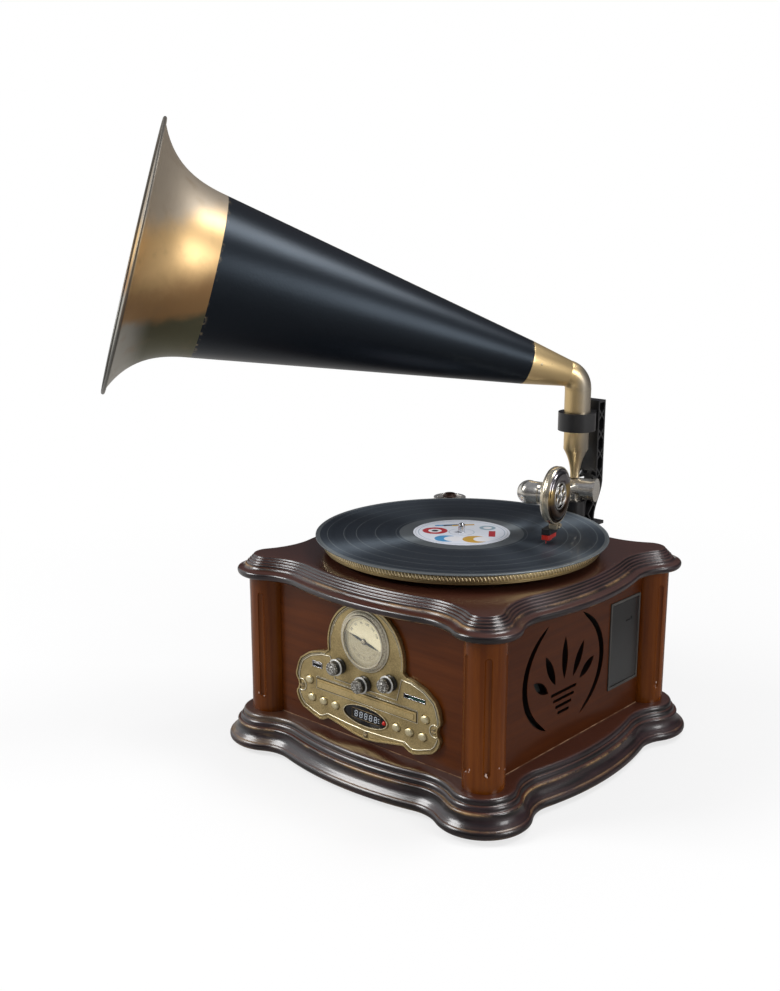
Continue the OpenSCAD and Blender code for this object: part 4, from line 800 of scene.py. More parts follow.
# Record
# A black vinyl long-player: a raised rim, grooves in bands with a smooth ring between
# tracks, a plain run-out ring, and a paper label pressed in on both sides.
low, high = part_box("record")
disc_radius = high.x
label_radius = 50 * MM
run_out = 64 * MM
lead_in = 146.5 * MM
vinyl = Finish("grooved_vinyl", Anisotropic=0.97, Specular_IOR_Level=0.85, Metallic=0.3,
               Specular_Tint=(0.70, 0.86, 1.0), Coat_Roughness=0.08)
away = (vinyl.axis("X") ** 2 + vinyl.axis("Y") ** 2).math("SQRT")
groove_start = 0.6 * MM
grooved = away.step(run_out, run_out + groove_start) * away.step(lead_in, lead_in - groove_start)
tracks = vinyl.node("TexNoise", {"noise_dimensions": "1D"}, {"W": away, "Scale": 95, "Detail": 5,
                                                           "Roughness": 0.7})
threads = vinyl.node("TexNoise", {"noise_dimensions": "1D"}, {"W": away, "Scale": 1400, "Detail": 2})
# Each stretch of about 16 mm across the grooves holds one smooth ring between tracks
tracks_per_metre = 62
track = away * tracks_per_metre
gaps = vinyl.node("TexWhiteNoise", {"noise_dimensions": "1D"}, {"W": track.math("FLOOR")})
gap_line = abs(track.math("FRACT") - gaps * 0.6 - 0.2).step(0.028, 0.012)
dust = vinyl.noise(700, detail=2).step(0.68, 0.8)
# The smooth rings, the run-out and the edge are painted light grey, a painted sheen
vinyl.set(
    Base_Color=vinyl.mix(grooved * (1 - gap_line), (0.15, 0.165, 0.17),
                         vinyl.mix(tracks, (0.016, 0.020, 0.026), (0.052, 0.062, 0.076))),
    Roughness=0.32 + grooved * 0.10 + tracks * 0.12 + dust * 0.1,
    Coat_Weight=0.12 + (1 - grooved) * 0.3,
)
vinyl.bump((threads * 0.7 + tracks * 0.3) * grooved, 0.00006)
edge = 0.5 * MM
record_steps = 256
middle = (low.z + high.z) / 2
half = (high.z - low.z) / 2
hole = 3.65 * MM
top_side = [
    (hole, half - 0.15 * MM), (label_radius + 0.15 * MM, half - 0.15 * MM),
    (label_radius + 0.4 * MM, half - 0.1 * MM), (label_radius + 0.7 * MM, half - 0.35 * MM),
    (run_out - 1 * MM, half - 0.35 * MM), (run_out + 1 * MM, half - 0.3 * MM),
    (lead_in, half - 0.3 * MM), (disc_radius - 3 * MM, half - 0.12 * MM),
    (disc_radius - 1.8 * MM, half), (disc_radius - edge, half - 0.1 * MM),
    (disc_radius - 0.1 * MM, half - 0.45 * MM), (disc_radius, 0),
]
under_side = [(r, -z) for r, z in reversed(top_side[:-1])]
piece("long_player", lathe([(r, middle + z) for r, z in top_side + under_side], record_steps,
                           closed=True),
      vinyl, "turntable", ["record"])

# Label
# Matt white paper printed with plain coloured shapes and thin rings, the same on both
# sides. It is pressed into the vinyl when the record is moulded.
paper_label = Finish("printed_label", Roughness=0.62, Specular_IOR_Level=0.35)
px = paper_label.axis("X") / MM
py = paper_label.axis("Y") / MM
radius_mm = (px ** 2 + py ** 2).math("SQRT")
# The print's edges fade over this many millimetres on each side
soft = 0.25


def disc_mask(x, y, radius):
    """1 inside a printed disc, in millimetres from the hole."""
    return (((px - x) ** 2 + (py - y) ** 2).math("SQRT") - radius).step(soft, -soft)


def bar_mask(x, y, half_length, half_width, turn):
    """1 inside a printed bar."""
    c, s = math.cos(turn), math.sin(turn)
    along = (px - x) * c + (py - y) * s
    across = (py - y) * c - (px - x) * s
    return (abs(along) - half_length).step(soft, -soft) * (abs(across) - half_width).step(soft, -soft)


def ring_mask(radius, half_width):
    """1 on a printed ring round the hole."""
    return (abs(radius_mm - radius) - half_width).step(soft, -soft)


red, blue, ochre, ink = (0.46, 0.03, 0.04), (0.07, 0.30, 0.58), (0.58, 0.34, 0.05), (0.03, 0.03, 0.04)
white, grey = (0.80, 0.80, 0.83), (0.45, 0.45, 0.48)
slate, slate_line = (0.30, 0.42, 0.50), (0.30, 0.40, 0.50)
print_shapes = [
    (disc_mask(-24, -14, 13), red), (disc_mask(-24, -14, 7.0), white),
    (disc_mask(-24, -14, 3.5), ink), (disc_mask(4, -30, 12), blue),
    (disc_mask(10, -26, 9.5), white), (disc_mask(28, -13, 13), ochre),
    (disc_mask(33, -8, 9), white), (bar_mask(28, 15, 11, 3.4, 2.2), red),
    (bar_mask(-29, 11, 12, 2.2, 0.9), blue), (bar_mask(-23, 17, 12, 2.2, 0.9), ink),
    (bar_mask(-16, 23, 12, 2.2, 0.9), ochre), (disc_mask(10, 31, 8.5), slate),
    (disc_mask(10, 31, 4.6), white), (ring_mask(44.5, 0.3), slate_line),
    (ring_mask(13, 0.3), slate_line), (ring_mask(47.6, 0.2), grey),
]
printed = paper_label.mix(paper_label.noise(300), (0.72, 0.76, 0.84), (0.78, 0.81, 0.88))
for mask, ink_colour in print_shapes:
    printed = paper_label.mix(mask, printed, ink_colour)
paper_label.set(Base_Color=printed)
paper_label.bump(paper_label.noise(2600), 0.00003)
label_low, label_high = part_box("record_label")
label_thickness = 0.15 * MM
labels = [lathe([
    (hole, z), (label_radius, z), (label_radius, z + label_thickness), (hole, z + label_thickness),
], 128, closed=True) for z in (label_low.z, label_high.z - label_thickness)]
piece("paper_labels", joined(*labels), paper_label, "turntable", ["record_label"])

# Spindle
# A turned steel pin with a domed tip, bright from use. It stands through the platter and
# the record, and turns in the bearing with them.
steel = metal_finish("bright_steel", (0.72, 0.73, 0.75), (0.50, 0.50, 0.52), 0.12, 0.4, (1, 1, 20))
low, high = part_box("spindle")
shaft = 4 * MM
seat_radius = 3.6 * MM
seat_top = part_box("record")[1].z + 0.5 * MM
free_radius = 3.44 * MM
dome = [(free_radius * math.cos(a), high.z - free_radius + free_radius * math.sin(a))
        for a in (math.radians(15 * i) for i in range(1, 6))]
piece("centre_pin", lathe([
    (0, low.z), (shaft - 0.4 * MM, low.z), (shaft, low.z + 0.4 * MM), (shaft, rim_top),
    (seat_radius, rim_top), (seat_radius, seat_top - 0.15 * MM), (free_radius, seat_top),
    (free_radius, high.z - free_radius)] + dome + [(0, high.z)], 48),
    steel, "turntable", ["spindle"])


# Arm bracket
# One black moulding: a foot plate under the platter's edge, a round post that the arm turns
# in, and a ribbed upright whose clamp ring holds the horn's tube.
def plastic_finish(name, colour, rough, coat=0.0):
    """Moulded plastic with a fine spark-eroded texture and a few handling smears."""
    made = Finish(name, Coat_Weight=coat, Coat_Roughness=0.2)
    smear = made.noise(30, detail=3)
    lighter = tuple(min(1, c * 1.7 + 0.004) for c in colour)
    made.set(
        Base_Color=made.mix(smear.step(0.4, 0.75) * 0.6, colour, lighter),
        Roughness=rough + smear * 0.15,
    )
    made.bump(made.noise(900, detail=2), 0.00006)
    return made


black_plastic = plastic_finish("black_moulding", (0.012, 0.012, 0.013), 0.28, coat=0.3)
dressed("horn_bracket", "bracket", black_plastic, "cabinet", bevel=0.5)

# Screws
# Plated screws with low slotted heads, dulled to an old brass: three hold the front plate,
# four the bracket's foot and two the rear sockets.
screw_brass = metal_finish("screw_brass", (0.55, 0.46, 0.30), (0.26, 0.20, 0.11), 0.3, 0.6)
dressed("screws", "screw_set", screw_brass, "cabinet", bevel=0.2)


# Arm
# A cast nickel-plated arm that looks like a gramophone's: a yoke turns on the post, a cross
# barrel lifts on it, and a tapering tube ends in a ball elbow that holds the sound box.
pivot = Vector((30, 162, 247.6)) * MM
arm_turn = math.radians(-74.5)
arm_length = 147.5 * MM
arm_rise = 26.9 * MM
toe = math.radians(-4.5)
disc_reach = 27.9 * MM
hinge_frame = Matrix.Translation(pivot) @ Matrix.Rotation(arm_turn, 4, "Z")
elbow_frame = hinge_frame @ Matrix.Translation((arm_length, 0, arm_rise)) @ Matrix.Rotation(toe, 4, "Z")
disc_frame = elbow_frame @ Matrix.Translation((0, disc_reach, 0))
sideways = Matrix.Rotation(-math.pi / 2, 4, "X")

broad_marks = (0.25, 0.25, 0.25)
arm_metal = metal_finish("arm_nickel", (0.90, 0.87, 0.80), (0.62, 0.55, 0.43), 0.17, 0.6,
                         broad_marks, 0.9)
dressed("arm_yoke", "pivot_yoke", arm_metal, "arm_pivot", bevel=0.6)
dressed("arm_tube", "arm_casting", arm_metal, "tone_arm", bevel=0.8)

# Sound box
# A round drum that holds the pickup instead of a diaphragm: a nickel back with a bright
# beaded edge and a clamp for the cartridge under it.
drum_radius = 29
drum_thick = 11.5
drum_wall = 4.0


def in_drum(x, y, z):
    """Place in the sound box, in millimetres from its middle; Y looks out of its front."""
    return disc_frame @ Matrix.Translation(Vector((x, y, z)) * MM)


drum = lathe(in_mm(
    (0, 0), (drum_radius - 9, 0), (drum_radius - 8, 0), (drum_radius - 3, 0.9),
    (drum_radius - 1.2, 2.0), (drum_radius - 0.4, 3.4), (drum_radius - 0.1, 4.6),
    (drum_radius - 0.8, 5.2), (drum_radius - 0.8, 6.0), (drum_radius - 0.2, 6.6),
    (drum_radius, 8.2), (drum_radius - 0.3, 9.7), (drum_radius - 0.9, 10.5),
    (drum_radius - 1.6, 10.4), (drum_radius - 1.9, 9.4), (drum_radius - 2.2, 8.4),
    (12, 8.2), (10.8, drum_wall), (0, drum_wall),
), 160, in_drum(0, -drum_thick / 2, 0) @ sideways)
# The clamp's two cheeks and the bar under them: the middle and the size of each
clamp_lugs = [
    ((-4.2, 1.2, -31.3), (4.6, 9.5, 4.4)),
    ((3.0, 1.2, -31.0), (4.8, 9.5, 5.0)),
    ((-1.0, 1.0, -33.2), (11.5, 8.0, 1.6)),
]
clamp_parts = []
for middle, lug_size in clamp_lugs:
    lug = bmesh.new()
    bmesh.ops.create_cube(lug, size=1, matrix=Matrix.Diagonal((*(side * MM for side in lug_size), 1)))
    bmesh.ops.bevel(lug, geom=lug.edges, offset=0.8 * MM, segments=3, affect="EDGES")
    bmesh.ops.transform(lug, matrix=in_drum(*middle), verts=lug.verts)
    clamp_parts.append(lug)
clamp_parts.append(lathe(in_mm(
    (0, 0), (1.7, 0), (1.9, 0.4), (1.9, 2.4), (1.2, 2.8), (0, 2.8),
), 24, in_drum(3.0, 5.0, -31) @ sideways))
box_metal = metal_finish("sound_box_nickel", (0.84, 0.76, 0.60), (0.46, 0.35, 0.20), 0.17, 0.7,
                         broad_marks, 0.9)
piece("sound_box_drum", joined(drum, *clamp_parts), box_metal, "tone_arm", ["sound_box"])

# Sound box cover
# A pressed cover, domed like a doughnut and painted dark as shade on its lower part, round a
# cast rosette of four rings that is polished on its high parts.
cover_radius = 27.35
cover_back = 2.75
cover_floor = 4.4
dome_foot = 4.9
dome_height = 2.6
dome_inner = 14.0
dome_outer = cover_radius - 2.8
dome_steps = 10
dome_points = [
    (cover_radius, cover_back), (cover_radius, 4.2), (cover_radius - 0.6, 5.2),
    (cover_radius - 1.4, 5.6), (cover_radius - 2.2, 5.3), (dome_outer, dome_foot),
]
for i in range(1, dome_steps + 1):
    a = math.pi * i / dome_steps
    dome_radius = dome_inner + (dome_outer - dome_inner) * (1 + math.cos(a)) / 2
    dome_points.append((dome_radius, dome_foot + dome_height * math.sin(a)))
dome_points += [(dome_inner - 0.6, cover_floor), (0, cover_floor), (0, cover_back)]
cover_metal = Finish("cover_painted_shade", Metallic=1.0)
# A golden band of painted reflection crosses it near its middle, and its lower part is painted darkest, as
# shade
cover_up = cover_metal.axis("Z", tuple(disc_frame.translation))
cover_cloud = cover_metal.noise(60, detail=4)
band = (abs(cover_up - 2 * MM) - 4 * MM - cover_cloud * (3 * MM)).step(4 * MM, 0)
cover_metal.set(
    Base_Color=cover_metal.mix(
        (cover_up + cover_cloud * 0.012).step(-0.006, 0.012),
        (0.09, 0.055, 0.035), cover_metal.mix(band, (0.30, 0.28, 0.30), (0.55, 0.40, 0.18))),
    Roughness=0.14 + cover_cloud * 0.12,
)
cover_metal.bump(cover_metal.noise(500), 0.00003)
cover_facing = disc_frame @ sideways
piece("cover_dome", lathe(in_mm(*dome_points), 160, cover_facing), cover_metal, "tone_arm",
      ["sound_box_cover"])


def torus(radius, thickness, steps, sides, place):
    """Mesh of a round ring."""
    profile = [(radius + thickness * math.cos(2 * math.pi * i / sides),
                thickness * math.sin(2 * math.pi * i / sides)) for i in range(sides)]
    return lathe(profile, steps, place, closed=True)


def on_cover(reach, turn, out):
    """Place on the cover's face: millimetres from its middle, a turn, millimetres out."""
    spot = Vector((reach * math.cos(turn), reach * math.sin(turn), out)) * MM
    return cover_facing @ Matrix.Translation(spot)


rosette_level = 5.6
rings_level = 6.0
rings_reach = 6.6
studs_reach = 11.4
rosette_parts = [torus(13.2 * MM, 0.9 * MM, 96, 12, on_cover(0, 0, rosette_level))]
for i in range(4):
    a = math.radians(45 + 90 * i)
    rosette_parts.append(torus(4.3 * MM, 1.15 * MM, 40, 10, on_cover(rings_reach, a, rings_level)))
    rosette_parts.append(lathe(in_mm(
        (0, 1.0), (0.9, 0.8), (1.5, 0), (0, -0.4),
    ), 16, on_cover(studs_reach, a, rosette_level)))
rosette_parts.append(lathe(in_mm(
    (0, 2.6), (1.2, 2.4), (2.2, 1.4), (2.6, 0), (0, -1),
), 32, on_cover(0, 0, rosette_level)))
rosette_metal = metal_finish("polished_rosette", (0.74, 0.73, 0.70), (0.36, 0.33, 0.28), 0.22, 0.6)
piece("cover_rosette", joined(*rosette_parts), rosette_metal, "tone_arm")

# Cartridge and stylus
# A black ceramic-type cartridge in the clamp, with a clip-on red stylus and its fine
# cantilever.
cartridge_plastic = plastic_finish("cartridge_plastic", (0.015, 0.015, 0.016), 0.35)
dressed("cartridge", "pickup_cartridge", cartridge_plastic, "tone_arm", bevel=0.6)
stylus_red = Finish("stylus_red", Subsurface_Weight=0.15, Coat_Weight=0.3)
stylus_red.set(
    Base_Color=stylus_red.mix(stylus_red.noise(200), (0.50, 0.018, 0.012), (0.66, 0.035, 0.02)),
    Roughness=0.3 + stylus_red.noise(90) * 0.1,
)
dressed("stylus", "stylus_holder", stylus_red, "tone_arm", bevel=0.3)


# Horn tube
# Drawn brass tube that stands in the clamp ring and narrows to a neck above the arm's
# barrel. It turns in the ring, with the whole horn.
horn_foot = Vector((pivot.x, pivot.y, 0))
tube_radius = 14.2 * MM
wall = 1.4 * MM
corner_height = 372 * MM
bend_radius = 18 * MM
horn_turn = math.radians(-126.7)
slope = math.radians(15.6)
bend_turn = math.pi / 2 - slope
bend_run = bend_radius * math.tan(bend_turn / 2)
low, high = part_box("horn_tube")
lower_radius = 13.5 * MM
neck_small = 5 * MM
neck_rise = 292 * MM - low.z
ring_step = 316.15 * MM - low.z
neck_steps = 14
neck_curve = 2.2
neck = []
for i in range(neck_steps + 1):
    share = i / neck_steps
    neck.append((neck_small + (lower_radius - neck_small) * share ** neck_curve, neck_rise * share))
full = high.z - low.z
tube_profile = [(neck_small - 2 * MM, 0)] + neck + [
    (lower_radius, ring_step), (tube_radius, ring_step), (tube_radius, full),
    (tube_radius - wall, full), (lower_radius - wall, neck_rise), (neck_small - 2 * MM, 12 * MM),
]
reflection_split_turn = math.radians(40)


def horn_brass_finish(name, grime):
    """Lacquered brass with polishing streaks, its golden left and greyer right a painted reflection."""
    made = Finish(name, Metallic=0.85)
    across = made.axis("X", tuple(horn_foot), (0, 0, reflection_split_turn))
    cloud = made.noise(18, detail=4)
    lines = made.noise(150, (8, 8, 0.6), detail=3)
    # The golden left and grey right are a painted reflection
    grey = (across + (cloud - 0.5) * 0.02).step(-0.006, 0.008)
    spots = made.noise(210, detail=4).step(0.66, 0.78)
    colour = made.mix(grey, (0.84, 0.62, 0.31), (0.44, 0.39, 0.31))
    made.set(
        Base_Color=made.mix(spots * grime, colour, (0.24, 0.17, 0.10)),
        Roughness=0.26 + lines * 0.16 + spots * 0.2,
    )
    made.bump(lines, 0.00003)
    return made


tube_brass = horn_brass_finish("tube_brass", 0.6)
tube_place = Matrix.Translation((horn_foot.x, horn_foot.y, low.z))
piece("neck_and_tube", lathe(tube_profile, 96, tube_place, closed=True), tube_brass, "horn",
      ["horn_tube"], crease=30)

# Horn elbow
# A short bend and the flared piece beyond it, both of brass sheet. A thin soldered seam
# shows where the bend stands on the tube, and a grub screw sits in the flare's side.
corner = Vector((horn_foot.x, horn_foot.y, corner_height))
horn_frame = (Matrix.Translation(corner) @ Matrix.Rotation(horn_turn, 4, "Z")
              @ Matrix.Rotation(bend_turn, 4, "Y"))
bend_steps = 20
bend_sides = 72


def bend_shell(radius):
    """Rings of points along the bend, from the tube on."""
    shell = []
    for i in range(bend_steps + 1):
        t = bend_turn * i / bend_steps
        middle = Vector((bend_radius * (1 - math.cos(t)), 0, bend_radius * math.sin(t)))
        ring = []
        for k in range(bend_sides):
            a = 2 * math.pi * k / bend_sides
            spoke = Vector((math.cos(a) * math.cos(t), math.sin(a), -math.cos(a) * math.sin(t)))
            ring.append(middle + radius * spoke)
        shell.append(ring)
    return shell


elbow = bmesh.new()
rings = bend_shell(tube_radius) + bend_shell(tube_radius - wall)[::-1]
grid = [[elbow.verts.new(p) for p in ring] for ring in rings]
for one, two in zip(grid, grid[1:] + grid[:1]):
    for k in range(bend_sides):
        n = (k + 1) % bend_sides
        elbow.faces.new((one[k], one[n], two[n], two[k]))
bend_foot = Matrix.Translation((horn_foot.x, horn_foot.y, corner_height - bend_run))
bmesh.ops.transform(elbow, matrix=bend_foot @ Matrix.Rotation(horn_turn, 4, "Z"), verts=elbow.verts)
bmesh.ops.recalc_face_normals(elbow, faces=elbow.faces)
cone_start = 62.5 * MM
cone_small = 23.8 * MM
flare_gap = 0.05 * MM
flare = lathe([
    (tube_radius, bend_run + flare_gap), (tube_radius + 0.25 * MM, bend_run + 0.5 * MM),
    (cone_small - 0.35 * MM, cone_start - 2.0 * MM), (cone_small, cone_start - 0.6 * MM),
    (cone_small, cone_start - flare_gap), (cone_small - wall, cone_start - flare_gap),
    (tube_radius - wall, bend_run + flare_gap),
], 128, horn_frame, closed=True)
seam_ring = torus(tube_radius - 0.1 * MM, 0.35 * MM, 72, 8, bend_foot)
elbow_brass = horn_brass_finish("elbow_brass", 0.7)
piece("bend_and_flare", joined(elbow, flare, seam_ring), elbow_brass, "horn",
      ["horn_elbow"])
grub_turn = Matrix.Rotation(math.radians(98), 4, "Z")
grub_spot = Matrix.Translation(Vector((21.7, 0, 52)) * MM)
grub_place = horn_frame @ grub_turn @ grub_spot @ Matrix.Rotation(math.pi / 2, 4, "Y")
grub = lathe(in_mm((0, 0.5), (1.1, 0.4), (1.5, 0), (1.5, -0.8), (0, -0.8)), 20, grub_place)
piece("elbow_grub_screw", grub, screw_brass, "horn")

# Horn cone
# Rolled sheet metal, soldered to the flared piece and painted satin black. The paint is a
# little thin, and rubbed at both ends.
cone_end = 409 * MM
cone_large = 82 * MM
horn_axis = horn_frame.to_3x3() @ Vector((0, 0, 1))
horn_euler = tuple(horn_frame.to_euler())
horn_paint = Finish("horn_black_paint", Specular_IOR_Level=0.42, Specular_Tint=(0.66, 0.82, 1.0))
along_horn = horn_paint.axis("Z", tuple(corner), horn_euler)
mottle = horn_paint.noise(9, detail=4)
orange_peel = horn_paint.noise(420, detail=2)
rub_reach = 4 * MM
ends = along_horn.step(cone_start + rub_reach, cone_start) + along_horn.step(cone_end - rub_reach, cone_end)
rub = ends * horn_paint.noise(160, detail=4).step(0.52, 0.66)
black = horn_paint.mix(mottle, (0.0022, 0.0026, 0.0038), (0.005, 0.006, 0.009))
horn_paint.set(
    Base_Color=horn_paint.mix(rub * 0.7, black, (0.20, 0.15, 0.08)),
    Roughness=0.30 + mottle * 0.10,
)
horn_paint.bump(orange_peel * 0.7 + mottle * 0.3, 0.00008)
cone_length = cone_end - cone_start
cone_rows = 12
outer = [(cone_small + (cone_large - cone_small) * i / cone_rows,
          cone_start + cone_length * i / cone_rows) for i in range(cone_rows + 1)]
inner = [(r - wall, s) for r, s in reversed(outer)]
piece("black_cone", lathe(outer + inner, 192, horn_frame, closed=True), horn_paint, "horn",
      ["horn_cone"])

# Horn bell
# Spun brass with faint spinning rings, painted in bands by height: a painted grey reflection on
# top, golden along its side and painted brown and olive shade below. The mouth ends in a dark rolled bead.
bell_length = 75 * MM
mouth_radius = 137 * MM
flare_scale = 27 * MM
flare_power = 0.9
flare_end = math.exp(-((bell_length / flare_scale) ** flare_power))
flare_base = (cone_large - mouth_radius * flare_end) / (1 - flare_end)
bell_rows = 40
row_spread = 1.6
bell_outer = []
for i in range(bell_rows + 1):
    back = bell_length * (1 - i / bell_rows) ** row_spread
    radius = flare_base + (mouth_radius - flare_base) * math.exp(-((back / flare_scale) ** flare_power))
    bell_outer.append((radius, cone_end + bell_length - back))
bell_inner = [(r - wall, s) for r, s in reversed(bell_outer)]
bell_brass = Finish("bell_brass", Metallic=0.8)
along_bell = bell_brass.axis("Z", tuple(corner), horn_euler)
bell_x = bell_brass.axis("X", tuple(corner), horn_euler)
bell_y = bell_brass.axis("Y", tuple(corner), horn_euler)
from_axis = (bell_x ** 2 + bell_y ** 2).math("SQRT")
rings_noise = bell_brass.node("TexNoise", {"noise_dimensions": "1D"},
                              {"W": from_axis, "Scale": 700, "Detail": 3})
bell_cloud = bell_brass.noise(8, detail=5)
bell_middle = corner + horn_axis * (cone_end + bell_length / 3)
# Bands by height are painted light: a grey reflection above, brown and olive shade below
bell_up = bell_brass.axis("Z", tuple(bell_middle)) + (bell_cloud - 0.5) * 0.07
painted_grey_top = bell_up.step(0.030, 0.060)
gold_and_painted_grey = bell_brass.mix(painted_grey_top, (0.84, 0.57, 0.27), (0.52, 0.44, 0.34))
near_mouth = along_bell.step(cone_end + 45 * MM, cone_end + 66 * MM)
olive = bell_brass.mix(near_mouth, (0.13, 0.125, 0.075), (0.36, 0.34, 0.29))
painted_lower_shade = bell_brass.mix(bell_up.step(-0.040, -0.026), olive, (0.40, 0.23, 0.10))
painted_bell_bands = bell_brass.mix(bell_up.step(-0.016, 0.014), painted_lower_shade, gold_and_painted_grey)
mouth = cone_end + bell_length
dark_bead = along_bell.step(mouth - 1.6 * MM, mouth - 0.4 * MM)
clouded = bell_brass.mix(bell_brass.noise(40, detail=5).step(0.5, 0.8) * 0.4, painted_bell_bands,
                         (0.30, 0.20, 0.11))
bell_brass.set(
    Base_Color=bell_brass.mix(dark_bead * 0.8, clouded, (0.10, 0.10, 0.095)),
    Roughness=0.33 + rings_noise * 0.06 + bell_cloud * 0.12 + painted_grey_top * 0.10,
)
bell_brass.bump(rings_noise, 0.00003)
bead_roll = 1.8 * MM
rolled = torus(mouth_radius - bead_roll / 2, bead_roll, 256, 14,
               horn_frame @ Matrix.Translation((0, 0, mouth)))
bell = lathe(bell_outer + bell_inner, 256, horn_frame, closed=True)
piece("spun_bell", joined(bell, rolled), bell_brass, "horn", ["horn_bell"])


# Grille cloths and loudspeakers
# Dark woven cloth is glued over each pierced panel's back, and a round paper-cone
# loudspeaker with a ring magnet is screwed behind it.
cloth = Finish("grille_cloth", Roughness=0.85)
# Radians in a metre: one thread in about 1.2 mm
weave_rate = 5200
weft = (cloth.axis("Y") * weave_rate).math("SINE")
warp = (cloth.axis("Z") * weave_rate).math("SINE")
weave = weft * warp * 0.5 + 0.5
cloth.set(Base_Color=cloth.mix(weave, (0.010, 0.014, 0.013), (0.036, 0.046, 0.044)))
cloth.bump(weave, 0.0003)
dressed("grille_cloths", "speaker_cloth", cloth, "cabinet", bevel=0)
grey_plastic = plastic_finish("grey_moulding", (0.10, 0.11, 0.12), 0.4)
dressed("speakers", "loudspeakers", grey_plastic, "cabinet", bevel=0.4)


# Front plate
# One die-cast plate in antiqued brass: an arch round the dial above a wide lower part.
# A rolled edge, fine raised lines and rows of beads are cast on it.
plate_y = -147.5 * MM
front = Matrix.Translation((0, plate_y, shelf)) @ Matrix.Rotation(math.pi / 2, 4, "X")


def plate_metal(name, light, deep, rough, pits, depth):
    """Antiqued cast brass: rubbed bright, dark with dirt and painted shade by raised edges, with a pitted
    ground.
    """
    made = Finish(name, Metallic=0.82)
    pitted = made.noise(pits, detail=3, rough=0.7)
    cloud = made.noise(34, detail=4)
    ground = made.mix((pitted * 0.6 + cloud * 0.4).step(0.34, 0.62), deep, light)
    # Old polish and dirt stay where a raised edge shades the ground, and that shade is painted in too
    shade_reach = 2.4 * MM
    open_side = made.node("AmbientOcclusion", {"samples": 8}, {"Distance": shade_reach}, output="AO")
    dirt_and_shade = open_side.step(0.92, 0.45) * (0.65 + pitted * 0.35)
    made.set(
        Base_Color=made.mix(dirt_and_shade, ground, tuple(c * 0.28 for c in deep)),
        Roughness=rough + pitted * 0.16 + dirt_and_shade * 0.2,
    )
    made.bump(pitted, depth)
    return made


plate_brass = plate_metal("plate_brass", (0.70, 0.55, 0.27), (0.32, 0.235, 0.105), 0.34, 1100, 0.00014)
line_brass = plate_metal("line_brass", (0.98, 0.92, 0.74), (0.74, 0.66, 0.46), 0.26, 700, 0.00003)
dressed("fascia", "cast_plate", plate_brass, "cabinet", bevel=0.5)

# Raised lines are round ribs, half sunk in the plate, that follow a path
line = Pattern("raised_line", Finish="Material", Radius="Float")
line_path = line.node("GeometryNodeMeshToCurve", sockets={0: line.given("Geometry")})
section = line.node("GeometryNodeCurvePrimitiveCircle", sockets={
    "Resolution": 10, "Radius": line.given("Radius")})
line.give(line.node("GeometryNodeCurveToMesh", sockets={
    "Curve": line_path, "Profile Curve": section, "Fill Caps": True}))

# Beads are copies of one drop, evenly spaced along a path
row = Pattern("row_of_copies", Shape="Object", Finish="Material", Count="Int")
row_path = row.node("GeometryNodeMeshToCurve", sockets={0: row.given("Geometry")})
row.copies(row.node("GeometryNodeResampleCurve", sockets={
    "Curve": row_path, "Count": row.given("Count")}))


def path(points, out, closed):
    """Edges through points in millimetres across and up the plate, so far out of it."""
    edges = [(i, i + 1) for i in range(len(points) - 1)]
    if closed:
        edges.append((len(points) - 1, 0))
    spots = [front @ (Vector((x, rise, out)) * MM) for x, rise in points]
    mesh = bpy.data.meshes.new("path")
    mesh.from_pydata(spots, edges, [])
    return mesh


def turn_points(centre, radius, start, end, steps, wide=1.0):
    """Points of an arc between two angles in degrees, stretched across by a factor."""
    turned = [math.radians(start + (end - start) * i / steps) for i in range(steps + 1)]
    return [(centre[0] + wide * radius * math.cos(a), centre[1] + radius * math.sin(a)) for a in turned]


def both_sides(half):
    """The points of a right half, and those of its mirror image in turn."""
    return half + [(-x, rise) for x, rise in reversed(half) if abs(x) > 0.01]


def raised_line(name, points, out, radius, closed=True, finish=line_brass, slot="antique_brass"):
    """A piece with one raised line, its sizes in millimetres."""
    line.run(name, path(points, out, closed), finish, "cabinet", slot, Radius=radius * MM)


def beads(name, points, out, radius, count, closed=False):
    """A piece with so many beads in a row, their sizes in millimetres."""
    drop = bmesh.new()
    bmesh.ops.create_uvsphere(drop, u_segments=8, v_segments=5, radius=radius * MM)
    row.lay(name, drop, line_brass, "cabinet", "antique_brass", path(points, out, closed), Count=count)


arch_middle, arch_radius = (0, 95), 50
inner_shoulder = [(53, 79.3), (59, 78.9), (74.2, 74.1), (79.6, 70.5), (85.8, 66.0), (88.6, 60.8),
                  (91.2, 51.6), (91.4, 47.5)]
inner_hip = [(91.0, 30.4), (88.2, 24.2), (83.5, 19.6), (78.5, 18.0), (68.8, 14.6), (62.0, 12.9),
             (58.5, 13.7), (51.4, 17.5), (44.6, 16.8), (24.0, 15.0), (0, 13.9)]
screw_turn = turn_points((88, 39.3), 6.2, 52, 308, 14)
knob_corner, knob_floor = (47, 80), [(-41, 57.5), (41, 57.5)]
body_half = [knob_corner] + inner_shoulder + screw_turn + inner_hip
raised_line("body_line", both_sides(body_half) + knob_floor, 0.15, 0.62)
arch_half = turn_points(arch_middle, arch_radius - 2.9, -8, 90, 40)
raised_line("arch_line", both_sides(arch_half), 0.1, 0.4, closed=False)
outer_half = [(54.5, 80.7), (59.3, 80.4), (75.0, 75.5), (80.6, 71.8), (87.2, 66.9), (90.2, 61.3),
              (92.8, 51.8), (92.9, 48.3)]
for side in (-1, 1):
    outer = [(side * x, rise) for x, rise in outer_half]
    raised_line("shoulder_line", outer, 0.1, 0.35, closed=False)
    quarter = turn_points(arch_middle, arch_radius - 4.3, 90 - side * 80, 90 - side * 6, 40)
    beads("arch_beads", quarter, 0.1, 0.5, 46)
drawer_rise = 47
drawer_left, drawer_right = -67, 67
drawer_low, drawer_high = drawer_rise - 6, drawer_rise + 6
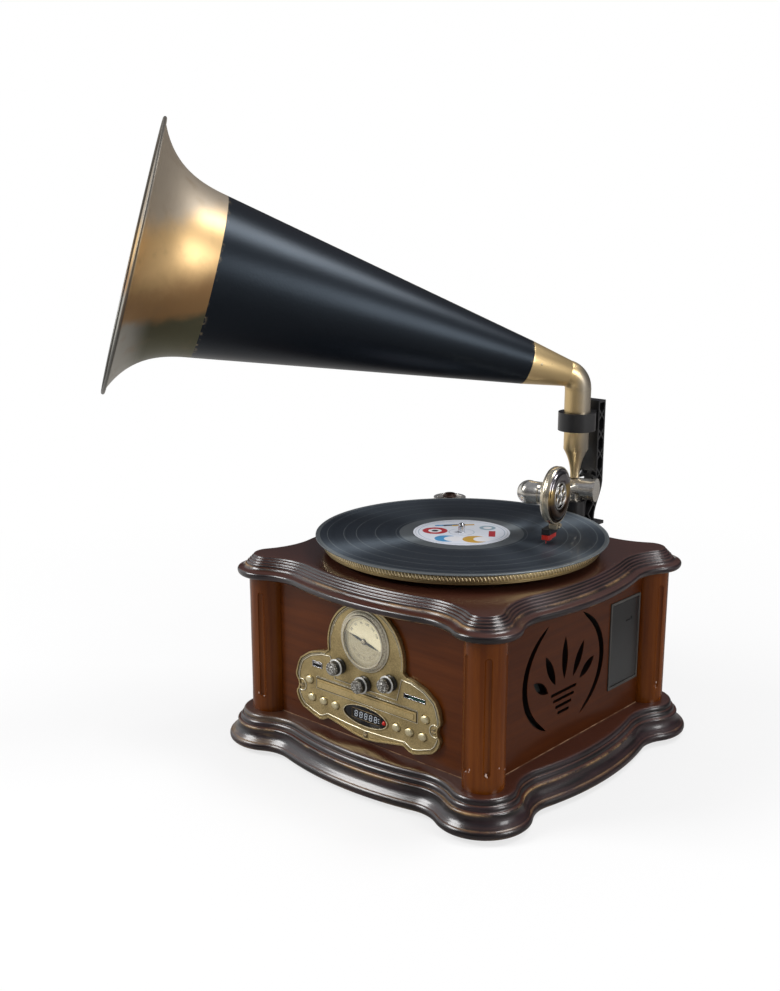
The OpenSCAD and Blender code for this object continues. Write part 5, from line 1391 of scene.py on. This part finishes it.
drawer_corners = [(drawer_left, drawer_low), (drawer_right, drawer_low),
                  (drawer_right, drawer_high), (drawer_left, drawer_high)]
raised_line("drawer_frame", drawer_corners, 0.05, 0.4)
beads_rise = drawer_high + 0.9
beads("drawer_beads", [(drawer_left + 1, beads_rise), (drawer_right - 1, beads_rise)], 0.05, 0.42, 120)
window_rise = 28.9
window_bead_height = 10.4
window_bead_wide = 28.9 / window_bead_height
window_ring = turn_points((0, window_rise), window_bead_height, 0, 351, 39, window_bead_wide)
beads("window_beads", window_ring, 0.85, 0.55, 110, closed=True)


# Dial
# A cast ring with a hammered band and a smooth inner lip holds the glass over the printed
# scale. A black pointer bar turns on a spindle with a gilt cap.
dial_middle = 107 * MM
dial_place = front @ Matrix.Translation((0, dial_middle, 0))
ring_metal = Finish("dial_ring_brass", Metallic=0.7)
ring_x = ring_metal.axis("X")
ring_up = ring_metal.axis("Z", (0, 0, shelf + dial_middle))
from_hub = (ring_x ** 2 + ring_up ** 2).math("SQRT")
hammered = ring_metal.cells(900)
band_inner = 26.6 * MM
band_outer = 30.4 * MM
soft_edge = 0.6 * MM
in_band = from_hub.step(band_inner, band_inner + soft_edge)
in_band = in_band * from_hub.step(band_outer, band_outer - soft_edge)
dirt = ring_metal.noise(500, detail=4)
ring_metal.set(
    Base_Color=ring_metal.mix(
        in_band * (hammered + dirt * 0.6).step(0.9, 0.4), (0.78, 0.72, 0.56), (0.26, 0.22, 0.15)),
    Roughness=0.24 + in_band * 0.2,
)
ring_metal.bump(hammered * in_band, 0.00025)
dial_rim = lathe(in_mm(
    (26.1, 0), (31.5, 0), (31.5, 0.7), (31.0, 1.3), (30.4, 1.4), (30.1, 1.8), (29.0, 2.7), (27.8, 3.3),
    (27.0, 3.5), (26.8, 4.1), (26.3, 4.8), (25.6, 5.0), (25.0, 4.8), (24.9, 4.45), (26.1, 4.45),
), 128, dial_place, closed=True)
piece("dial_rim", dial_rim, ring_metal, "cabinet", ["dial_ring"])

print_card = Finish("dial_card", Roughness=0.5)
card_x = print_card.axis("X") / MM
card_up = print_card.axis("Z", (0, 0, shelf + dial_middle)) / MM
card_out = (card_x ** 2 + card_up ** 2).math("SQRT")
# The card is paler above a line through its middle that runs down to the right
tilt = math.radians(-15)
above = (card_up * math.cos(tilt) - card_x * math.sin(tilt)).step(-0.4, 0.4)
paper_tone = print_card.noise(220, detail=4)
card_colour = print_card.mix(
    above, print_card.mix(paper_tone, (0.42, 0.36, 0.22), (0.52, 0.45, 0.28)),
    print_card.mix(paper_tone, (0.84, 0.74, 0.47), (0.92, 0.84, 0.58)))
scale_circles = [(9.0, 0.12), (12.2, 0.12), (15.4, 0.12), (18.6, 0.14), (23.6, 0.16)]
card_radius = 26.0
card_ink = 0
for radius, half_line in scale_circles:
    card_ink = card_ink + (abs(card_out - radius) - half_line).step(0.12, -0.12)
card_edge = card_out.step(card_radius - 1.8, card_radius)
card_colour = print_card.mix((1 - above) * 0.75 * card_ink, card_colour, (0.10, 0.08, 0.05))
print_card.set(Base_Color=print_card.mix(card_edge * 0.6, card_colour, (0.16, 0.13, 0.08)))
print_card.bump(paper_tone, 0.00002)
card_hole = 1.5
card_thick = 1.2
piece("dial_card", lathe(in_mm(
    (card_hole, 0), (card_radius, 0), (card_radius, card_thick), (card_hole, card_thick),
), 96, dial_place, closed=True), print_card, "cabinet", ["dial_face"])
dial_ink = Finish("dial_ink", Roughness=0.5)
dial_ink.set(Base_Color=dial_ink.mix(dial_ink.noise(900), (0.05, 0.04, 0.03), (0.09, 0.075, 0.05)))
radially = Matrix.Rotation(math.pi / 2, 4, "Z") @ Matrix.Rotation(math.pi / 2, 4, "Y")
tick_shape = rounded_bar(1.6 * MM, 0.26 * MM, 0.05 * MM, radially)
around.lay("dial_ticks", tick_shape, dial_ink, "cabinet", "dial_print",
           place=dial_place, Count=72, Radius=21.9 * MM, Height=(card_thick + 0.01) * MM)


def numerals(name, marks, size, radius):
    """Printed scale figures round the dial, each standing on its circle."""
    figures = bmesh.new()
    for figure, degrees in marks:
        curve = bpy.data.curves.new("figure", "FONT")
        curve.body = figure
        curve.size = size * MM
        curve.align_x = "CENTER"
        curve.align_y = "CENTER"
        curve.resolution_u = 2
        shown = bpy.data.objects.new("figure", curve)
        bpy.context.scene.collection.objects.link(shown)
        bpy.context.view_layer.update()
        flat = bpy.data.meshes.new_from_object(
            shown.evaluated_get(bpy.context.evaluated_depsgraph_get()))
        turn = math.radians(degrees)
        upright = turn - math.pi / 2 if degrees >= 0 else turn + math.pi / 2
        spot = Vector((radius * math.cos(turn), radius * math.sin(turn), card_thick + 0.03)) * MM
        flat.transform(dial_place @ Matrix.Translation(spot) @ Matrix.Rotation(upright, 4, "Z"))
        figures.from_mesh(flat)
        bpy.data.meshes.remove(flat)
        bpy.data.objects.remove(shown)
        bpy.data.curves.remove(curve)
    piece(name, figures, dial_ink, "cabinet")


upper_scale = [("88", 150), ("92", 126), ("96", 102), ("100", 78), ("104", 54), ("108", 30)]
lower_scale = [("53", -38), ("70", -64), ("90", -90), ("120", -116), ("160", -142)]
numerals("upper_figures", upper_scale, 3.6, 18.6)
numerals("lower_figures", lower_scale, 2.8, 17.0)

clear = Finish("clear_glass", Metallic=0, IOR=1.45, Alpha=0.05)
clear.set(Base_Color=clear.mix(clear.noise(30), (0.85, 0.88, 0.86), (0.95, 0.96, 0.94)),
          Roughness=0.03 + clear.noise(70) * 0.03)
glass_radius = 25.9
glass_back, glass_front = 3.2, 4.35
piece("dial_glass", lathe(in_mm(
    (0, glass_back), (glass_radius, glass_back), (glass_radius, glass_front), (0, glass_front),
), 96, dial_place), clear, "cabinet", ["dial_glass"])

pointer_black = plastic_finish("pointer_black", (0.014, 0.014, 0.012), 0.35)
dressed("dial_pointer", "pointer_bar", pointer_black, "pointer", bevel=0.1)
gilt = metal_finish("gilt_cap", (0.90, 0.82, 0.62), (0.62, 0.50, 0.30), 0.15, 0.4)
cap = lathe(in_mm((2.5, 2.3), (2.4, 2.6), (1.7, 2.95), (0, 3.1)), 32, dial_place)
piece("pointer_cap", cap, gilt, "pointer")


# Display
# A black oval window, clipped into the plate, with a framed figure display at its middle and
# the red lens of the remote control's eye at its right end.
window_half_width = 28.0
window_half_height = 9.6
window_middle = front @ Matrix.Translation((0, window_rise * MM, 0))
window_stretch = Matrix.Diagonal((window_half_width / window_half_height, 1, 1, 1))
smoked = Finish("smoked_window", Coat_Weight=0.15, Coat_Roughness=0.05, Specular_IOR_Level=0.3)
smoked.set(Base_Color=smoked.mix(smoked.noise(60), (0.003, 0.003, 0.0035), (0.007, 0.007, 0.008)),
           Roughness=0.16 + smoked.noise(25) * 0.08)
oval = lathe(in_mm(
    (0, -3.5), (window_half_height, -3.5), (window_half_height, 0), (window_half_height - 0.4, 0.3),
    (0, 0.4),
), 96, window_middle @ window_stretch)


def plain_box(x, rise, out, wide, tall, deep):
    """A box with its middle at a spot of the plate, in millimetres."""
    box = bmesh.new()
    spot = front @ Matrix.Translation(Vector((x, rise, out)) * MM)
    bmesh.ops.create_cube(box, size=1, matrix=spot @ Matrix.Diagonal((wide * MM, tall * MM, deep * MM, 1)))
    return box


module = plain_box(0, window_rise, -10, 40, 14, 13)
piece("display_window", joined(oval, module), smoked, "cabinet", ["display_window"])
frame_gold = metal_finish("display_frame", (0.42, 0.30, 0.16), (0.24, 0.16, 0.08), 0.4, 0.5)
display_corners = [(-17.5, 24.4), (19.8, 24.4), (19.8, 34.2), (-17.5, 34.2)]
raised_line("display_frame", display_corners, 0.32, 0.28, finish=frame_gold, slot="clear_window")
lit = Finish("display_figures", Roughness=0.4)
lit.set(Base_Color=lit.mix(lit.noise(400), (0.42, 0.46, 0.52), (0.62, 0.66, 0.70)))
figure_out = 0.40
bar_thick = 0.06


def figure_eight(x, rise, wide, tall, lean):
    """Seven bars of a display figure."""
    half = tall / 2
    bars = [(0, up, wide * 0.8, 0.75) for up in (half, 0, -half)]
    bars += [(s * wide / 2, t * half / 2, 0.75, half * 0.8) for s in (-1, 1) for t in (-1, 1)]
    return [plain_box(x + across + lean * up, rise + up, figure_out, bar_wide, bar_tall, bar_thick)
            for across, up, bar_wide, bar_tall in bars]


figures = []
for i in range(5):
    figures += figure_eight(-12.0 + 6.4 * i, 29.2, 3.2, 5.8, 0.12)
for mark in range(3):
    figures.append(plain_box(17.6, 31.2 - 2.0 * mark, figure_out, 1.8, 0.6, bar_thick))
piece("display_digits", joined(*figures), lit, "cabinet")
red_lens = Finish("red_lens", Coat_Weight=0.6, Coat_Roughness=0.04)
red_lens.set(Base_Color=red_lens.mix(red_lens.noise(300), (0.55, 0.012, 0.008), (0.78, 0.03, 0.015)),
             Roughness=0.15 + red_lens.noise(80) * 0.1)
eye_radius = 2.2
eye_dome = turn_points((0, 0), eye_radius, 0, 90, 6)
eye = lathe(in_mm((0, -9), (eye_radius, -9), *eye_dome[:-1], (0, eye_radius)), 32,
            front @ Matrix.Translation(Vector((24.6, window_rise, 0)) * MM))
piece("remote_eye", eye, red_lens, "cabinet")


# Sockets on the front
# Both are let into the plate from behind: a bright stamped shell that takes a memory stick,
# and a dark slot with a greenish tongue that takes a card.
stamped = metal_finish("stamped_steel", (0.74, 0.74, 0.76), (0.46, 0.46, 0.48), 0.2, 0.3)
dressed("media_sockets", "socket_shells", stamped, "cabinet", bevel=0.15)
slot_black = plastic_finish("slot_black", (0.010, 0.014, 0.014), 0.35)
slot_green = plastic_finish("slot_green", (0.02, 0.10, 0.08), 0.4)


def block(x, rise, wide, tall, back, out, bevel=0.2):
    """A box with rounded edges between two depths of the plate, in millimetres."""
    made = bmesh.new()
    bmesh.ops.create_cube(made, size=1, matrix=Matrix.Diagonal((wide, tall, out - back, 1)))
    bmesh.ops.bevel(made, geom=made.edges, offset=bevel, segments=2, affect="EDGES")
    bmesh.ops.transform(made, verts=made.verts, matrix=front @ Matrix.Scale(MM, 4)
                        @ Matrix.Translation((x, rise, (out + back) / 2)))
    return made


slot_x, slot_rise = 63, 65
slot_back, slot_out = -3.0, 0.35
# A frame of four bars round the slot, and its dark end
piece("card_throat", joined(
    block(slot_x, slot_rise + 1.75, 27, 0.9, slot_back, slot_out),
    block(slot_x, slot_rise - 1.75, 27, 0.9, slot_back, slot_out),
    block(slot_x - 13.1, slot_rise, 0.9, 4.4, slot_back, slot_out),
    block(slot_x + 13.1, slot_rise, 0.9, 4.4, slot_back, slot_out),
    block(slot_x, slot_rise, 25.4, 2.8, -3.2, -2.2),
), slot_black, "cabinet")
piece("card_tongue", block(slot_x + 2, slot_rise - 0.3, 20, 0.8, -2.4, -0.3), slot_green, "cabinet")


# Knobs
# Three moulded knobs with fluted black skirts, bright ribs between the flutes and a cast
# silver face. They turn the volume, the function switch and the tuner.
knob_black = plastic_finish("knob_black", (0.014, 0.015, 0.014), 0.3, coat=0.3)
knob_silver = metal_finish("knob_silver", (0.86, 0.86, 0.82), (0.40, 0.40, 0.37), 0.26, 0.6, metal=0.55)
face_silver = Finish("knob_face", Metallic=0.6)
face_marks = face_silver.cells(620)
face_dirt = face_silver.noise(420, detail=3)
face_silver.set(Base_Color=face_silver.mix((face_marks + face_dirt * 0.5).step(0.35, 0.85),
                                          (0.86, 0.85, 0.78), (0.17, 0.16, 0.14)),
                Roughness=0.25 + face_dirt * 0.2)
face_silver.bump(face_marks, 0.0004)
knob_places = {"volume": (-33.5, 73.5), "function": (0, 63.5), "tuning": (33.5, 73.5)}
for knob, (x, rise) in knob_places.items():
    place = front @ Matrix.Translation((x * MM, rise * MM, 0))
    node = knob + "_knob"
    tip = (plate_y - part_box(node)[0].y) / MM
    skirt = lathe(in_mm(
        (3, -10), (3, 0.5), (7.9, 0.5), (7.9, 2.2), (7.3, 2.6), (7.0, tip - 3.4),
        (6.6, tip - 2.6), (0, tip - 2.6),
    ), 60, place)
    piece(knob + "_skirt", skirt, knob_black, knob, [node])
    crown = lathe(in_mm(
        (0, tip - 0.9), (2.0, tip - 0.35), (2.6, tip - 0.5), (3.2, tip - 0.9), (5.2, tip - 0.5),
        (6.4, tip - 0.8), (6.9, tip - 1.6), (7.0, tip - 2.9), (6.4, tip - 3.2), (0, tip - 3.0),
    ), 60, place)
    piece(knob + "_crown", crown, face_silver, knob)
    rib = rounded_bar(10.4 * MM, 1.15 * MM, 0.75 * MM, Matrix.Rotation(math.pi / 2, 4, "X"))
    around.lay(knob + "_ribs", rib, knob_silver, knob, "knob_metal", place=place,
               Count=20, Radius=7.15 * MM, Height=(tip / 2 - 0.2) * MM)


# Buttons
# Eight domed oval buttons with a pale gilt coat press small switches on the board behind.
button_gilt = metal_finish("button_gilt", (0.92, 0.82, 0.52), (0.70, 0.55, 0.28), 0.28, 0.4, metal=0.85)
button_places = {
    "power": (-76.5, 48), "program": (-73.5, 29.5), "repeat": (-57, 29.5), "stop": (-40.5, 29.5),
    "play": (40.5, 29.5), "skip_back": (57, 29.5), "skip_forward": (73.5, 29.5), "record": (76.5, 48),
}
button_wide = 1.25
for button, (x, rise) in button_places.items():
    place = front @ Matrix.Translation((x * MM, rise * MM, 0)) @ Matrix.Diagonal((button_wide, 1, 1, 1))
    button_cap = lathe(in_mm(
        (0, -9.5), (1.4, -9.5), (1.4, -4.6), (5.4, -4.6), (5.4, -3.8), (3.95, -3.8), (3.95, 1.1),
        (3.7, 1.6), (3.0, 2.1), (1.8, 2.4), (0, 2.5),
    ), 48, place)
    piece(button + "_cap", button_cap, button_gilt, button + "_key", [button + "_button"])


# Disc drawer
# A black tray that slides out of the plate on its chassis, with a brass-coloured front
# and a wide well for a disc. A driven hub lifts the disc off the tray.
tray_black = plastic_finish("tray_black", (0.018, 0.018, 0.020), 0.4)
tray = shape_of("cd_drawer")
face_back = -1.5
# The tray's own front is cut off behind the face, which is made apart from it
cut = bmesh.ops.bisect_plane(
    tray, geom=tray.verts[:] + tray.edges[:] + tray.faces[:], clear_outer=True,
    plane_co=front @ Vector((0, 0, face_back * MM)), plane_no=front.to_3x3() @ Vector((0, 0, 1)))
rim_edges = [e for e in cut["geom_cut"] if isinstance(e, bmesh.types.BMEdge)]
bmesh.ops.holes_fill(tray, edges=rim_edges, sides=0)
dressed("cd_drawer", "disc_tray", tray_black, "drawer", shape=tray)
drawer_brass = plate_metal("drawer_brass", (0.82, 0.64, 0.32), (0.60, 0.46, 0.21), 0.32, 600, 0.00004)
# The face is a flat strip with a raised bar along its middle
piece("drawer_face", joined(
    block(0, drawer_rise, 131.4, 9.4, face_back, 0.9, 0.3),
    block(0, drawer_rise, 127.0, 6.0, 0.5, 1.45, 0.45),
), drawer_brass, "drawer")
dressed("cd_hub", "disc_hub", grey_plastic, "disc_hub", bevel=0.2)
dressed("cd_chassis", "disc_chassis", zinc, "cabinet", bevel=0.3)


# Electronics
# Two green boards with the largest parts on them. One stands behind the front plate, the
# other lies on the bottom board.
board_green = plastic_finish("board_green", (0.010, 0.075, 0.028), 0.38, coat=0.4)
dressed("control_board", "front_board_parts", board_green, "cabinet", bevel=0.1)
dressed("main_board", "amplifier_board", board_green, "cabinet", bevel=0.2)


# Back panel's sockets
# A two-pole mains inlet and a plate with two phono jacks, both moulded in black plastic
# and set into the back panel.
dressed("mains_inlet", "power_inlet", black_plastic, "cabinet", bevel=0.3)
dressed("rear_sockets", "phono_sockets", black_plastic, "cabinet", bevel=0.2)


# Cassette deck
# A grey moulded deck let into the right panel, with a hinged smoked door that drops open
# from its top edge.
deck_grey = plastic_finish("deck_grey", (0.050, 0.048, 0.044), 0.42)
dressed("cassette_deck", "deck_body", deck_grey, "cabinet", bevel=0.4)
door_smoke = Finish("door_smoke", Coat_Weight=0.35, Coat_Roughness=0.12)
door_low, door_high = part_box("cassette_door")
door_rise = door_smoke.axis("Z", (0, 0, door_low.z)) / (door_high.z - door_low.z)
door_cloud = door_smoke.noise(20, (1, 1, 0.3), detail=3)
door_smoke.set(
    Base_Color=door_smoke.mix((door_rise + door_cloud * 0.3).step(0.15, 1.05),
                              (0.030, 0.032, 0.032), (0.009, 0.0095, 0.010)),
    Roughness=0.28 + door_cloud * 0.12,
)
door_smoke.bump(door_smoke.noise(900), 0.00003)
dressed("cassette_door", "deck_door", door_smoke, "cassette_cover", bevel=0.5)
